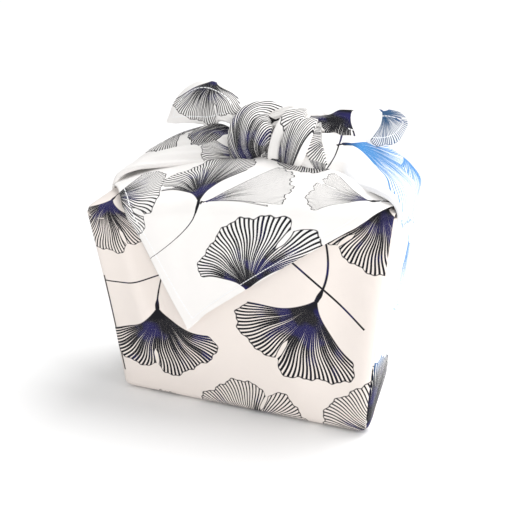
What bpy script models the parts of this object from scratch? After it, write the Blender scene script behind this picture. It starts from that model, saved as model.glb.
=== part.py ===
"""A furoshiki: one square of printed cotton wrapped round an oblong load and tied on top.

The load itself isn't modelled, so the cloth is a hollow wrap. The near corner lies over the
top as the inner layer, the far corner comes over it from the back as a flap whose point hangs
down the front, and the two side corners rise over the top edges and tie in a square knot.

Run it with: blender --background --python part.py
Metres, +Z up. X runs along the front to the right, Y to the back. The origin is the middle
of the base, on the surface that the wrap stands on.
"""

import math
from collections import namedtuple

import bmesh
import bpy
from mathutils import Vector

# Cloth
WALL = 0.0020  # thickness of every sheet in this model
FLAP_GAP = 0.0011  # air between the flap and the layer that it lies on
EMBED = 0.0005  # how far the middle of a pressed-on layer stands off the wall below it

# The wrapped box: its four corners at the base and at the top edge, from the front left
# corner round to the right. The top flares and leans, because the load is loose in the cloth.
Corner = namedtuple("Corner", "x y z")
BASE_HALF_WIDTH = 0.101
BASE_HALF_DEPTH = 0.045
BASE_CORNERS = (
    Corner(-BASE_HALF_WIDTH, -BASE_HALF_DEPTH, 0.0),
    Corner(BASE_HALF_WIDTH, -BASE_HALF_DEPTH, 0.0),
    Corner(BASE_HALF_WIDTH, BASE_HALF_DEPTH, 0.0),
    Corner(-BASE_HALF_WIDTH, BASE_HALF_DEPTH, 0.0),
)
TOP_CORNERS = (
    Corner(-0.118, -0.058, 0.153),
    Corner(0.112, -0.043, 0.168),
    Corner(0.112, 0.046, 0.166),
    Corner(-0.118, 0.040, 0.164),
)
FLARE_POWER = 1.25  # above 1, the walls lean out mostly near the top
TOP_ARCH = 0.004  # rise of the long top edges between their corners
WALL_BULGE = 0.0022
EDGE_ROUNDING = 0.0065  # how far from an edge the cloth starts to turn over it

# The top rises from its edges to a ridge that runs along X and is highest under the knot.
RIDGE_RISE = 0.009
PEAK_RISE = 0.012
PEAK_X = 0.010
PEAK_SPREAD = 0.060

# Upright folds of the front layer: where across the front, how wide and how deep.
Fold = namedtuple("Fold", "across width depth")
FRONT_FOLDS = (
    Fold(0.17, 0.045, 0.0014),
    Fold(0.27, 0.040, -0.0012),
    Fold(0.86, 0.050, 0.0012),
)

# Rings of the wrap's wall: a share of the wall's height, and metres along the path past it.
RINGS = (
    (0.0, -0.009),
    (0.0, -0.004),
    (0.0, 0.000),
    (0.0, 0.004),
    (0.0, 0.010),
    (0.25, 0.0),
    (0.50, 0.0),
    (0.75, 0.0),
    (1.0, -0.010),
    (1.0, -0.004),
    (1.0, 0.001),
    (1.0, 0.006),
    (1.0, 0.011),
    (1.0, 0.019),
    (1.0, 0.030),
)
SLIT_RING = 12  # the ring from which the inner layer is open along the back, under the flap
SLIT_ACROSS = (2.12, 2.88)  # how far round the outline the opening reaches
LONG_FACE_STEPS = (0.025, 0.055, 0.17, 0.27, 0.40, 0.60, 0.80, 0.945, 0.975)
SHORT_FACE_STEPS = (0.05, 0.11, 0.30, 0.50, 0.70, 0.89, 0.95)

# The flap: distances run forward from the front top edge, and are negative on the top.
FLAP_TIP = (-0.034, 0.093)
FLAP_TIP_WIDTH = 0.003
FLAP_LEFT_BEND_X = -0.085  # where its left edge crosses the front top edge
FLAP_RIGHT_BEND_X = 0.102
FLAP_LEFT_SLANT = 0.85  # sideways run of the left edge for each metre back over the top
FLAP_SIDE_CLEARANCE = 0.009
FLAP_BACK_DROP = 0.010  # how far its root runs down the back wall
FLAP_ROOT_RUN = 0.008
FLAP_COLUMNS = 14
FLAP_FRONT_ROWS = 8
FLAP_TOP_ROWS = 11

# The knot's own axes: it faces the front and up.
KNOT_CENTRE = Vector((0.016, 0.006, 0.202))
KNOT_TILT = math.radians(30.0)
KNOT_UP = Vector((0.0, math.sin(KNOT_TILT), math.cos(KNOT_TILT)))
KNOT_FACE = Vector((0.0, -math.cos(KNOT_TILT), math.sin(KNOT_TILT)))

# One side corner's way through the square knot: across, up and out of the knot's face, then
# half the width and half the thickness of the gathered cloth. The other corner's way is this
# one turned half round the knot's upright axis.
Turn = namedtuple("Turn", "across up out half_width half_thick")
KNOT_TURNS = (
    Turn(0.0370, -0.0091, 0.0020, 0.0108, 0.0062),
    Turn(0.0230, -0.0094, 0.0056, 0.0104, 0.0056),
    Turn(0.0080, -0.0124, -0.0006, 0.0100, 0.0054),
    Turn(-0.0060, -0.0156, -0.0040, 0.0102, 0.0054),
    Turn(-0.0160, -0.0156, -0.0015, 0.0118, 0.0050),
    Turn(-0.0225, -0.0106, 0.0074, 0.0130, 0.0048),
    Turn(-0.0250, -0.0006, 0.0112, 0.0136, 0.0048),
    Turn(-0.0225, 0.0106, 0.0074, 0.0130, 0.0048),
    Turn(-0.0160, 0.0156, -0.0015, 0.0118, 0.0050),
    Turn(-0.0060, 0.0156, -0.0040, 0.0102, 0.0054),
    Turn(0.0080, 0.0124, -0.0006, 0.0100, 0.0054),
    Turn(0.0230, 0.0094, 0.0056, 0.0104, 0.0056),
    Turn(0.0370, 0.0096, 0.0020, 0.0104, 0.0056),
)

# A side corner's sections outside the knot: the middle of the cloth there, which way its face
# looks, half its width, half its thickness, and how deep it curls to a trough.
Section = namedtuple("Section", "place facing half_width half_thick curl")
LEFT_RISE = (
    Section((-0.1015, 0.000, 0.008), (-1.0, 0.0, 0.0), 0.0370, 0.0010, 0.0),
    Section((-0.1045, 0.001, 0.050), (-1.0, 0.0, 0.0), 0.0340, 0.0010, 0.0),
    Section((-0.1090, 0.005, 0.103), (-1.0, 0.0, 0.0), 0.0290, 0.0010, 0.0),
    Section((-0.1150, 0.010, 0.146), (-1.0, 0.0, 0.1), 0.0245, 0.0014, 0.0),
    Section((-0.1155, 0.011, 0.1655), (-0.70, 0.0, 0.70), 0.0238, 0.0022, 0.0),
    Section((-0.1010, 0.011, 0.1760), (-0.35, -0.10, 0.93), 0.0220, 0.0032, 0.0),
    Section((-0.0800, 0.009, 0.1815), (-0.22, -0.30, 0.93), 0.0190, 0.0042, 0.0),
    Section((-0.0580, 0.007, 0.1860), (-0.15, -0.55, 0.82), 0.0160, 0.0050, 0.0),
    Section((-0.0380, 0.004, 0.1910), (-0.10, -0.75, 0.65), 0.0130, 0.0058, 0.0),
)
RIGHT_RISE = (
    Section((0.1015, 0.000, 0.008), (1.0, 0.0, 0.0), 0.0370, 0.0010, 0.0),
    Section((0.1045, 0.000, 0.050), (1.0, 0.0, 0.0), 0.0380, 0.0010, 0.0),
    Section((0.1080, 0.001, 0.108), (1.0, 0.0, 0.0), 0.0385, 0.0010, 0.0),
    Section((0.1110, 0.001, 0.150), (1.0, 0.0, 0.1), 0.0385, 0.0014, 0.0),
    Section((0.1115, 0.001, 0.1715), (0.70, 0.0, 0.70), 0.0385, 0.0022, 0.0),
    Section((0.1010, 0.002, 0.1815), (0.38, -0.10, 0.90), 0.0335, 0.0032, 0.0),
    Section((0.0880, 0.003, 0.1870), (0.30, -0.30, 0.90), 0.0260, 0.0042, 0.0),
    Section((0.0750, 0.004, 0.1905), (0.20, -0.55, 0.82), 0.0185, 0.0050, 0.0),
    Section((0.0650, 0.004, 0.1935), (0.10, -0.75, 0.65), 0.0135, 0.0058, 0.0),
)
LEFT_TAIL = (
    Section((-0.0340, 0.012, 0.2150), (0.0, -0.87, 0.50), 0.0120, 0.0040, 0.000),
    Section((-0.0430, 0.015, 0.2195), (0.0, -0.90, 0.45), 0.0160, 0.0022, 0.004),
    Section((-0.0530, 0.018, 0.2225), (0.0, -0.92, 0.40), 0.0195, 0.0012, 0.006),
    Section((-0.0640, 0.020, 0.2220), (0.0, -0.92, 0.35), 0.0185, 0.0010, 0.006),
    Section((-0.0740, 0.022, 0.2165), (0.0, -0.90, 0.30), 0.0120, 0.0010, 0.004),
    Section((-0.0810, 0.023, 0.2090), (0.0, -0.90, 0.30), 0.0030, 0.0010, 0.000),
)
RIGHT_TAIL = (
    Section((0.0620, 0.012, 0.2125), (0.0, -0.87, 0.50), 0.0120, 0.0040, 0.000),
    Section((0.0710, 0.014, 0.2150), (0.0, -0.90, 0.45), 0.0150, 0.0022, 0.004),
    Section((0.0800, 0.015, 0.2175), (0.0, -0.92, 0.40), 0.0170, 0.0012, 0.006),
    Section((0.0890, 0.016, 0.2190), (0.0, -0.92, 0.35), 0.0150, 0.0010, 0.005),
    Section((0.0980, 0.017, 0.2185), (0.0, -0.90, 0.30), 0.0085, 0.0010, 0.003),
    Section((0.1035, 0.017, 0.2165), (0.0, -0.90, 0.30), 0.0025, 0.0010, 0.000),
)
WALL_SECTIONS = 4  # the first sections of a rise lie on the side wall and follow its curve
ACROSS_STEPS = 10  # steps across a side corner's section
STEPS_PER_TURN = 2
PLEATS_ACROSS = 2.5
PLEAT_SHARE = 0.24  # depth of a pleat against the thickness of the gathered cloth
EDGE_SHARE = 0.30  # thickness of a section's edges against its middle

CLOTH_COLOUR = (0.90, 0.87, 0.83, 1.0)
CLOTH_ROUGHNESS = 0.85


def clear_scene():
    for obj in list(bpy.data.objects):
        bpy.data.objects.remove(obj)


def mix(a, b, share):
    return a + (b - a) * share


def clamp(value, low, high):
    return max(low, min(high, value))


def smooth(share):
    share = clamp(share, 0.0, 1.0)
    return share * share * (3.0 - 2.0 * share)


def spline(values, at):
    """The value at a fractional index of a list, on a smooth curve through all of them."""
    last = len(values) - 1
    i = int(clamp(math.floor(at), 0, last - 1))
    t = at - i
    p0, p1 = values[max(i - 1, 0)], values[i]
    p2, p3 = values[i + 1], values[min(i + 2, last)]
    return 0.5 * (
        2.0 * p1
        + (p2 - p0) * t
        + (2.0 * p0 - 5.0 * p1 + 4.0 * p2 - p3) * t * t
        + (3.0 * p1 - p0 - 3.0 * p2 + p3) * t * t * t
    )


def edge_corner(index, share):
    """A point of one upright edge, at a share of the wall's height."""
    low, high = BASE_CORNERS[index % 4], TOP_CORNERS[index % 4]
    lean = share**FLARE_POWER
    return Vector((mix(low.x, high.x, lean), mix(low.y, high.y, lean), high.z * share))


def arch(around):
    """How far a long face's top edge stands above the straight line between its corners."""
    face, along = int(around) % 4, around - int(around)
    return TOP_ARCH * math.sin(math.pi * along) if face % 2 == 0 else 0.0


def wall_height(around):
    face, along = int(around) % 4, around - int(around)
    return mix(TOP_CORNERS[face].z, TOP_CORNERS[(face + 1) % 4].z, along) + arch(around)


def front_relief(along):
    """How far the front layer's upright folds stand out, at a share of its width."""
    return sum(
        fold.depth * math.exp(-(((along - fold.across) / fold.width) ** 2))
        for fold in FRONT_FOLDS
    )


def top_frame(x):
    """The middle and half of the top's depth at x, and x as a share from side to side."""
    left = (TOP_CORNERS[0].x + TOP_CORNERS[3].x) / 2
    right = (TOP_CORNERS[1].x + TOP_CORNERS[2].x) / 2
    share = clamp((x - left) / (right - left), 0.0, 1.0)
    front = mix(TOP_CORNERS[0].y, TOP_CORNERS[1].y, share)
    back = mix(TOP_CORNERS[3].y, TOP_CORNERS[2].y, share)
    return (front + back) / 2, (back - front) / 2, share


def top_height(x, y):
    """The height of the inner layer's outside over the top."""
    middle, half, share = top_frame(x)
    back_share = clamp((y - middle) / half * 0.5 + 0.5, 0.0, 1.0)
    front_z = wall_height(min(share, 0.999))
    back_z = wall_height(3.0 - max(share, 0.001))
    half_width = (TOP_CORNERS[1].x - TOP_CORNERS[0].x) / 2
    from_end = half_width * (1.0 - abs(2.0 * share - 1.0))
    from_side = half - abs(y - middle)
    inside = clamp(min(from_end, from_side) / half, 0.0, 1.0)
    peak = PEAK_RISE * math.exp(-(((x - PEAK_X) / PEAK_SPREAD) ** 2))
    return mix(front_z, back_z, back_share) + (RIDGE_RISE + peak) * math.sin(inside * math.pi / 2)


def plain_point(around, path):
    """A point of the wrap's outside before its edges are rounded.

    around counts the four faces from the front left corner; path is metres up the wall from
    the base edge, negative under the base and past the wall's height over the top.
    """
    around %= 4.0
    face, along = int(around), around - int(around)
    height = wall_height(around)
    share = clamp(path / height, 0.0, 1.0)
    point = edge_corner(face, share).lerp(edge_corner(face + 1, share), along)
    if path < 0.0:
        point.x *= 1.0 + path / BASE_HALF_WIDTH
        point.y *= 1.0 + path / BASE_HALF_DEPTH
    elif path > height:
        middle, half, _ = top_frame(point.x)
        inset = min(path - height, half)
        centre_x = (TOP_CORNERS[0].x + TOP_CORNERS[1].x) / 2
        half_width = (TOP_CORNERS[1].x - TOP_CORNERS[0].x) / 2
        point.x = centre_x + (point.x - centre_x) * (1.0 - inset / half_width)
        point.y = middle + (point.y - middle) * (1.0 - inset / half)
        point.z = top_height(point.x, point.y)
    else:
        out = (Vector((0, -1, 0)), Vector((1, 0, 0)), Vector((0, 1, 0)), Vector((-1, 0, 0)))[face]
        swell = WALL_BULGE * math.sin(math.pi * along)
        if face == 0:
            swell += front_relief(along)
        point += out * swell * math.sin(math.pi * share)
        point.z += arch(around) * share
    return point


def face_length(around):
    return 2.0 * (BASE_HALF_WIDTH if int(around) % 2 == 0 else BASE_HALF_DEPTH)


def wrap_point(around, path):
    """A point of the wrap's outside, with its edges rounded by averaging round it."""
    shift = EDGE_ROUNDING / face_length(around % 4.0)
    total = Vector((0.0, 0.0, 0.0))
    for i in (-1.0, -0.5, 0.0, 0.5, 1.0):
        for j in (-1.0, -0.5, 0.0, 0.5, 1.0):
            total += plain_point(around + i * shift, path + j * EDGE_ROUNDING)
    return total / 25.0


def outline_steps():
    """Where the rings have a vertex: the back's steps are the front's, seen from the front."""
    back_steps = tuple(1.0 - s for s in reversed(LONG_FACE_STEPS))
    faces = (LONG_FACE_STEPS, SHORT_FACE_STEPS, back_steps, SHORT_FACE_STEPS)
    return [face + s for face, inner in enumerate(faces) for s in (0.0, *inner)]


def ring_face(bm, rings, keep):
    """Quads between each ring and the next, all round, where keep says so."""
    for r in range(len(rings) - 1):
        for i in range(len(rings[r])):
            j = (i + 1) % len(rings[r])
            if keep(r, i):
                bm.faces.new((rings[r][i], rings[r][j], rings[r + 1][j], rings[r + 1][i]))


def finish(bm, name):
    """A mesh object made from the bmesh, with its faces pointing out."""
    bmesh.ops.recalc_face_normals(bm, faces=bm.faces)
    mesh = bpy.data.meshes.new(name)
    bm.to_mesh(mesh)
    bm.free()
    obj = bpy.data.objects.new(name, mesh)
    bpy.context.scene.collection.objects.link(obj)
    return obj


def thicken(obj, offset):
    modifier = obj.modifiers.new("Cloth thickness", "SOLIDIFY")
    modifier.thickness = WALL
    modifier.offset = offset
    modifier.use_even_offset = False
    return modifier


def build_wrap():
    """The base, the four walls and the inner layer over the top, open in a slit at the back."""
    steps = outline_steps()
    bm = bmesh.new()
    rings = []
    for share, past in RINGS:
        path = [share * wall_height(s) + past for s in steps]
        rings.append([bm.verts.new(wrap_point(s, d)) for s, d in zip(steps, path)])
    for vertex in rings[0]:
        vertex.co.z = 0.0
    ridge = []
    for s in steps:
        point = plain_point(s, wall_height(s) + 1.0)
        ridge.append(bm.verts.new(point))
    rings.append(ridge)
    bm.faces.new(rings[0])

    def keep(r, i):
        in_slit = SLIT_ACROSS[0] <= steps[i] and steps[(i + 1) % len(steps)] <= SLIT_ACROSS[1]
        return not (r == SLIT_RING and in_slit and steps[i] < SLIT_ACROSS[1])

    ring_face(bm, rings, keep)
    bmesh.ops.remove_doubles(bm, verts=bm.verts, dist=0.0001)
    obj = finish(bm, "furoshiki_cloth")
    thicken(obj, -1.0)
    return obj


def over_top(x, forward):
    """A point of the wrap's outside at x, forward of the front top edge or back over the top."""
    _, _, share = top_frame(x)
    if forward > 0.0:
        point = plain_point(share, max(wall_height(share) - forward, 0.0))
        return Vector((x, point.y, point.z))
    middle, half, _ = top_frame(x)
    y = middle - half - forward
    if y <= middle + half:
        return Vector((x, y, top_height(x, y)))
    point = plain_point(3.0 - share, wall_height(3.0 - share) - (y - middle - half))
    return Vector((x, point.y, point.z))


def over_top_rounded(x, forward):
    shifts = (-1.0, -0.5, 0.0, 0.5, 1.0)
    total = Vector((0.0, 0.0, 0.0))
    for k in shifts:
        total += over_top(x, forward + k * EDGE_ROUNDING)
    return total / len(shifts)


def flap_point(x, forward):
    """The middle of the flap's cloth: lifted off the inner layer, and sunk in the wall at its root."""
    step = 0.001
    here = over_top_rounded(x, forward)
    along = over_top_rounded(x, forward + step) - over_top_rounded(x, forward - step)
    out = Vector((1.0, 0.0, 0.0)).cross(-along).normalized()
    _, half, _ = top_frame(x)
    from_back = forward + 2.0 * half
    free = FLAP_GAP + WALL / 2
    lift = mix(EMBED - WALL / 2, free, smooth(from_back / FLAP_ROOT_RUN))
    return here + out * lift


def flap_sides(forward):
    """Where the flap's left and right edges lie, at a distance forward of the front top edge."""
    left_limit = TOP_CORNERS[3].x + FLAP_SIDE_CLEARANCE
    right_limit = TOP_CORNERS[1].x - FLAP_SIDE_CLEARANCE
    tip_x, tip_drop = FLAP_TIP
    if forward <= 0.0:
        left = max(FLAP_LEFT_BEND_X + FLAP_LEFT_SLANT * forward, left_limit)
        return left, min(FLAP_RIGHT_BEND_X - forward, right_limit)
    share = min(forward / tip_drop, 1.0)
    half_tip = FLAP_TIP_WIDTH / 2
    return mix(FLAP_LEFT_BEND_X, tip_x - half_tip, share), mix(FLAP_RIGHT_BEND_X, tip_x + half_tip, share)


def build_flap():
    _, half, _ = top_frame(0.0)
    back_end = -(2.0 * half + FLAP_BACK_DROP)
    rows = [mix(back_end, -0.008, i / (FLAP_TOP_ROWS - 1)) for i in range(FLAP_TOP_ROWS)]
    rows += [mix(-0.003, FLAP_TIP[1], i / (FLAP_FRONT_ROWS - 1)) for i in range(FLAP_FRONT_ROWS)]
    bm = bmesh.new()
    uneven = [0.5 - 0.5 * math.cos(math.pi * i / FLAP_COLUMNS) for i in range(FLAP_COLUMNS + 1)]
    lines = []
    for forward in rows:
        left, right = flap_sides(forward)
        lines.append([bm.verts.new(flap_point(mix(left, right, u), forward)) for u in uneven])
    for a, b in zip(lines, lines[1:]):
        for i in range(FLAP_COLUMNS):
            bm.faces.new((a[i], a[i + 1], b[i + 1], b[i]))
    obj = finish(bm, "flap_guide")
    thicken(obj, 0.0)
    return obj


def knot_place(turn, side):
    """A turn of the knot in the model's frame: side is 1 for the right corner, -1 for the left."""
    local = Vector((1.0, 0.0, 0.0)) * (turn.across * side)
    return KNOT_CENTRE + local + KNOT_UP * turn.up + KNOT_FACE * (turn.out * side)


def corner_sections(side):
    """All the sections of a side corner, from the base over the top edge, through the knot to its tip."""
    rise, tail = (RIGHT_RISE, RIGHT_TAIL) if side > 0 else (LEFT_RISE, LEFT_TAIL)
    knot = [
        Section(knot_place(t, side), KNOT_FACE, t.half_width, t.half_thick, 0.0) for t in KNOT_TURNS
    ]
    return [*rise, *knot, *tail]


def side_wall_x(side, y, z):
    """X of the side wall's outside at y and z."""
    face = 1 if side > 0 else 3
    low, high = TOP_CORNERS[face], TOP_CORNERS[(face + 1) % 4]
    share = clamp(z / mix(low.z, high.z, 0.5), 0.0, 1.0)
    a, b = edge_corner(face, share), edge_corner(face + 1, share)
    along = clamp((y - a.y) / (b.y - a.y), 0.0, 1.0)
    return wrap_point(face + min(along, 0.999), share * wall_height(face + along)).x


def pleat_shape(v, at):
    """Pleats across a gathered section: they drift a little along it and fade at its edges."""
    return (1.0 - v**4) * math.sin(math.pi * PLEATS_ACROSS * v + 0.5 * math.sin(0.7 * at))


def corner_loop(sections, side, at):
    """The closed section of a side corner's cloth at a fractional section number."""
    places = [Vector(s.place) for s in sections]
    here = spline(places, at)
    last = len(sections) - 1
    along = (spline(places, min(at + 0.05, last)) - spline(places, max(at - 0.05, 0))).normalized()
    facing = spline([Vector(s.facing).normalized() for s in sections], at)
    across = facing.cross(along).normalized()
    out = along.cross(across).normalized()
    half_width = spline([s.half_width for s in sections], at)
    half_thick = spline([s.half_thick for s in sections], at)
    curl = spline([s.curl for s in sections], at)
    on_wall = 1.0 - smooth((at - WALL_SECTIONS + 1.0) / 1.0)
    gathered = smooth((half_thick - 0.0015) / 0.003)
    front, back = [], []
    for step in range(ACROSS_STEPS + 1):
        v = 2.0 * step / ACROSS_STEPS - 1.0
        bend = curl * (0.5 - v * v) + PLEAT_SHARE * half_thick * gathered * pleat_shape(v, at)
        middle = here + across * (half_width * v) + out * bend
        if on_wall > 0.0:
            wall_x = side_wall_x(side, middle.y, middle.z) + side * EMBED
            middle.x = mix(middle.x, wall_x, on_wall)
        round_edge = mix(1.0, mix(EDGE_SHARE, 1.0, math.sqrt(max(1.0 - v * v, 0.0))), gathered)
        front.append(middle + out * (half_thick * round_edge))
        back.append(middle - out * (half_thick * round_edge))
    return [*front, *reversed(back)]


def build_side_corner(side, name):
    sections = corner_sections(side)
    bm = bmesh.new()
    count = (len(sections) - 1) * STEPS_PER_TURN
    loops = []
    for i in range(count + 1):
        loop = corner_loop(sections, side, i / STEPS_PER_TURN)
        loops.append([bm.verts.new(point) for point in loop])
    ring_face(bm, loops, lambda r, i: True)
    bm.faces.new(loops[0])
    bm.faces.new(loops[-1])
    return finish(bm, name)


def join(obj, other):
    """Makes other part of obj's one solid, and keeps it as a guide that isn't rendered."""
    modifier = obj.modifiers.new("Joined with " + other.name, "BOOLEAN")
    modifier.operation = "UNION"
    modifier.solver = "EXACT"
    modifier.use_self = True
    modifier.object = other
    other.hide_render = True
    other.display_type = "WIRE"


def cloth_material():
    material = bpy.data.materials.new("printed_cotton")
    material.use_nodes = True
    shader = material.node_tree.nodes["Principled BSDF"]
    shader.inputs["Base Color"].default_value = CLOTH_COLOUR
    shader.inputs["Roughness"].default_value = CLOTH_ROUGHNESS
    shader.inputs["Metallic"].default_value = 0.0
    return material


def main():
    clear_scene()
    cloth = build_wrap()
    cloth.data.materials.append(cloth_material())
    join(cloth, build_flap())
    join(cloth, build_side_corner(-1.0, "left_corner_guide"))
    join(cloth, build_side_corner(1.0, "right_corner_guide"))


main()
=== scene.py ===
"""The furoshiki wrap as it looks: one printed cotton square folded round a load and tied on top."""

import logging
import math
from dataclasses import dataclass, field, replace
from enum import Enum
from typing import Callable

import bmesh
import bpy
import numpy as np
from mathutils import Matrix, Vector


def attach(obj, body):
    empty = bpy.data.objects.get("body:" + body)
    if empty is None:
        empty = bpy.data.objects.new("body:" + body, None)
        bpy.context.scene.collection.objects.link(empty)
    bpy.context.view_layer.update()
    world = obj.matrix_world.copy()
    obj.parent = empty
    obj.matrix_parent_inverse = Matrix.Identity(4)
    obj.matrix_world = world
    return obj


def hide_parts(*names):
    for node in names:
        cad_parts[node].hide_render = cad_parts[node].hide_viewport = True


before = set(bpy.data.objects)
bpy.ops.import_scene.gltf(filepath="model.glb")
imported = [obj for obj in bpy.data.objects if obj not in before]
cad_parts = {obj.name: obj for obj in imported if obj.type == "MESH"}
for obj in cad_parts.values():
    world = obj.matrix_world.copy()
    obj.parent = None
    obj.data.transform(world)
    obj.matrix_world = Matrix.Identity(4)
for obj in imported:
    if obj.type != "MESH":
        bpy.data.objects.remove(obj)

LOG = logging.getLogger("furoshiki")
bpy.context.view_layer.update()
CLOTH_NODE = "furoshiki_cloth"

UV_NEAR = "leaf_near"  # place in the nearest leaf's own axes, in leaf radii
UV_NEXT = "leaf_next"  # the same for the next leaf
UV_STYLE = "leaf_style"  # where each of the two leaves has its notch
UV_INK = "leaf_ink"  # how heavily each of the two leaves is printed
UV_CLOTH = "cloth"  # metres on the flat cloth
UV_EDGE = "edge"  # metres from the cloth's edge, and which tone the layer has
FAR_AWAY = 9.0
NO_FAN = 5.0
DRAWN_SPREAD = 66.0  # half of the drawn fan's angle at its rim, in degrees
WIDEST_TURN = 1.8  # how far a fan reaches from its middle when it is widened, in radians

Array = np.ndarray
Row = tuple[float, ...]
Placing = Callable[[Array, Array], Array]


class Layer(Enum):
    """The layers of the folded cloth, each with its own flat coordinates."""

    FRONT = "front"
    FLAP = "flap"
    LEFT_SIDE = "left_side"
    RIGHT_SIDE = "right_side"
    LEFT_CORNER = "left_corner"
    RIGHT_CORNER = "right_corner"
    LOW_FOLD = "low_fold"
    OVER_FOLD = "over_fold"
    END_FOLD = "end_fold"


class Tone(Enum):
    """How a layer reads: one layer over the load, two layers, or painted highlight, in part or in
    full, that whitens the cloth and pales its print.
    """

    SINGLE = 0.0
    DOUBLE = 0.5
    # The last two tones are painted highlight: they whiten the cloth and pale its print where
    # strong light would burn them out.
    PART_HIGHLIT = 0.70
    HIGHLIT = 1.0


@dataclass(frozen=True)
class Leaf:
    """One printed ginkgo leaf, placed on a layer.

    across and along place the point where the fan meets its stem: in metres, but along counts
    sections on a band. heading is where the fan points, clockwise from along. spread is half of
    the fan's angle at its rim, in degrees, and 0 for a loose stem. skew makes its right half
    longer than its left. ink is from 0, fine lines, to 1, nearly solid.
    """

    layer: Layer
    across: float
    along: float
    heading: float
    radius: float
    notch: float
    stem: float
    lean: float
    bend: float
    spread: float
    ink: float
    skew: float = 0.0

    @property
    def fan(self) -> bool:
        """Whether it has a fan."""
        return self.spread > 0.0

    @property
    def widening(self) -> float:
        """How many times wider than its own fan the drawn one is."""
        return DRAWN_SPREAD / self.spread if self.fan else 1.0


# Each leaf's across, along, heading, radius, notch, stem, lean, bend, spread, ink and skew.
LEAF_ROWS: dict[Layer, tuple[Row, ...]] = {
    Layer.FRONT: (
        (0.0615, 0.104, 205, 0.07, 0.1, 0.6, -0.05, 0.62, 58, 0.75),
        (-0.0645, 0.0798, 176, 0.061, 0.12, 0.46, -0.1, -0.5, 65, 0.85),
        (0.011, -0.035, 2, 0.064, 0.2, 0.6, 0, 0, 55, 0.3),
        (0.121, -0.012, -32, 0.06, 0.6, 0.5, 0, 0, 62, 0.3),
        (0.104, 0.18, 190, 0.055, 0.45, 0.5, 0, 0, 66, 0.65),
        (-0.099, 0.167, 186, 0.048, -0.4, 0.3, 0, 0, 70, 0.45),
        (-0.068, -0.045, 5, 0.049, -0.4, 0.3, 0, 0, 20, 0.2),
        (0.04, 0.13, -50.5, 0.07, 0, 1.02, 0.03, -0.03, 0, 0.5),
        (-0.059, 0.1063, 74, 0.05, 0, 0.98, 0.22, -0.28, 0, 0.5),
        (-0.1078, 0.1, -6.6, 0.06, 0, 1.4, 0, 0, 0, 0.5),
    ),
    Layer.FLAP: (
        (0.0125, -0.066, -1, 0.062, 0.48, 0.4, 0, 0, 68, 0.5, 0.28),
        (-0.0254, 0.001, -13, 0.048, -0.9, 0.69, -0.41, -1.6, 62, 0.4),
        (-0.0235, 0.002, 75, 0.064, 0.9, 0.02, 0, 0, 18, -0.2),
        (-0.101, 0.008, 88, 0.043, 0.3, 0.3, 0, 0, 76, 0.2),
        (0.095, 0.009, -79, 0.046, 0.3, 0.35, 0.3, 0, 27, -0.1),
        # This dark, heavily inked leaf under the knot is print and also painted shadow: it darkens
        # the flap where the knot's contact shadow falls.
        (0.037, 0.062, 184, 0.033, 0.9, 0.1, 0, 0, 70, 0.8),
        (-0.056, 0.15, 160, 0.062, 0.1, 0.7, 0.1, 0.4, 66, 0.5),
        (0.048, 0.178, 20, 0.064, -0.2, 0.7, 0, -0.5, 66, 0.5),
        (-0.03, 0.255, 60, 0.06, 0.15, 0.6, 0, 0.4, 66, 0.5),
        (0.085, 0.252, 200, 0.06, 0.2, 0.5, 0, 0, 66, 0.5),
        (-0.115, 0.225, -30, 0.058, 0.1, 0.5, 0, 0, 66, 0.5),
    ),
    Layer.RIGHT_SIDE: (
        (-0.04, -0.006, 16, 0.064, 0.6, 0.1, 0, 0, 40, 1.2),
    ),
    Layer.LEFT_SIDE: (
        (-0.015, 0.07, 150, 0.06, 0.1, 0.7, 0, 0.3, 66, 0.5),
        (0.024, 0.15, 200, 0.056, -0.2, 0.6, 0, 0, 66, 0.5),
    ),
    Layer.RIGHT_CORNER: (
        (0.04, -0.5, -16, 0.064, 0.6, 0.1, 0, 0, 40, 1.2),
        (-0.012, 2.6, 200, 0.056, 0.1, 0.6, 0, 0.3, 60, 0.1),
        (-0.008, 8.2, 195, 0.082, 0.1, 0.05, 0, 0, 62, 0.15),
        (-0.052, 5.9, 156, 0.066, -0.1, 0.05, 0, 0, 62, 0.2),
        (-0.024, 8.3, 272, 0.048, 0, 1, 0, 0.3, 0, 0.5),
        (0.006, 11.6, -6, 0.082, 0.9, 0.05, 0, 0, 66, 0.4),
        (0.013, 22.6, 222, 0.03, 0.9, 0.05, 0, 0, 66, 1.5),
        (0.012, 25.3, -42, 0.027, 0.2, 0.22, 0, 0, 72, 0.3),
    ),
    Layer.LEFT_CORNER: (
        (0.01, 1.8, 10, 0.06, 0.1, 0.5, 0, 0.3, 66, 0.6),
        (0.046, 7.2, 202, 0.066, 0.2, 0.05, 0, 0, 50, 0.4),
        (-0.001, 10.3, 221, 0.048, 0.5, 0.05, 0, 0, 48, 0.3),
        (0.043, 10.4, 197, 0.076, 0.1, 0.05, 0, 0, 36, 1.1),
        (0, 13.7, 180, 0.034, 0.9, 0.05, 0, 0, 62, 1),
        (0, 18.6, 3, 0.04, 0.1, 0.5, 0, 0, 66, 0.2),
        (-0.02, 24.3, 92, 0.037, 0.3, 0.1, 0, 0, 78, 0.3),
    ),
    Layer.LOW_FOLD: (
        (-0.045, 7.2, 88, 0.066, 0.9, 0.1, 0, 0, 56, 0.3),
    ),
    Layer.OVER_FOLD: (
        (-0.004, -2, 30, 0.082, 0.9, 0.1, 0, 0, 42, 0.35),
    ),
    Layer.END_FOLD: (
        (-0.033, 3.8, 88, 0.05, 0.9, 0.1, 0, 0, 60, 0.3),
        (0.003, -1.4, 4, 0.038, 0.9, 0.1, 0, 0, 34, 0.6),
    ),
}
LEAVES = tuple(Leaf(layer, *row) for layer, rows in LEAF_ROWS.items() for row in rows)


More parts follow.
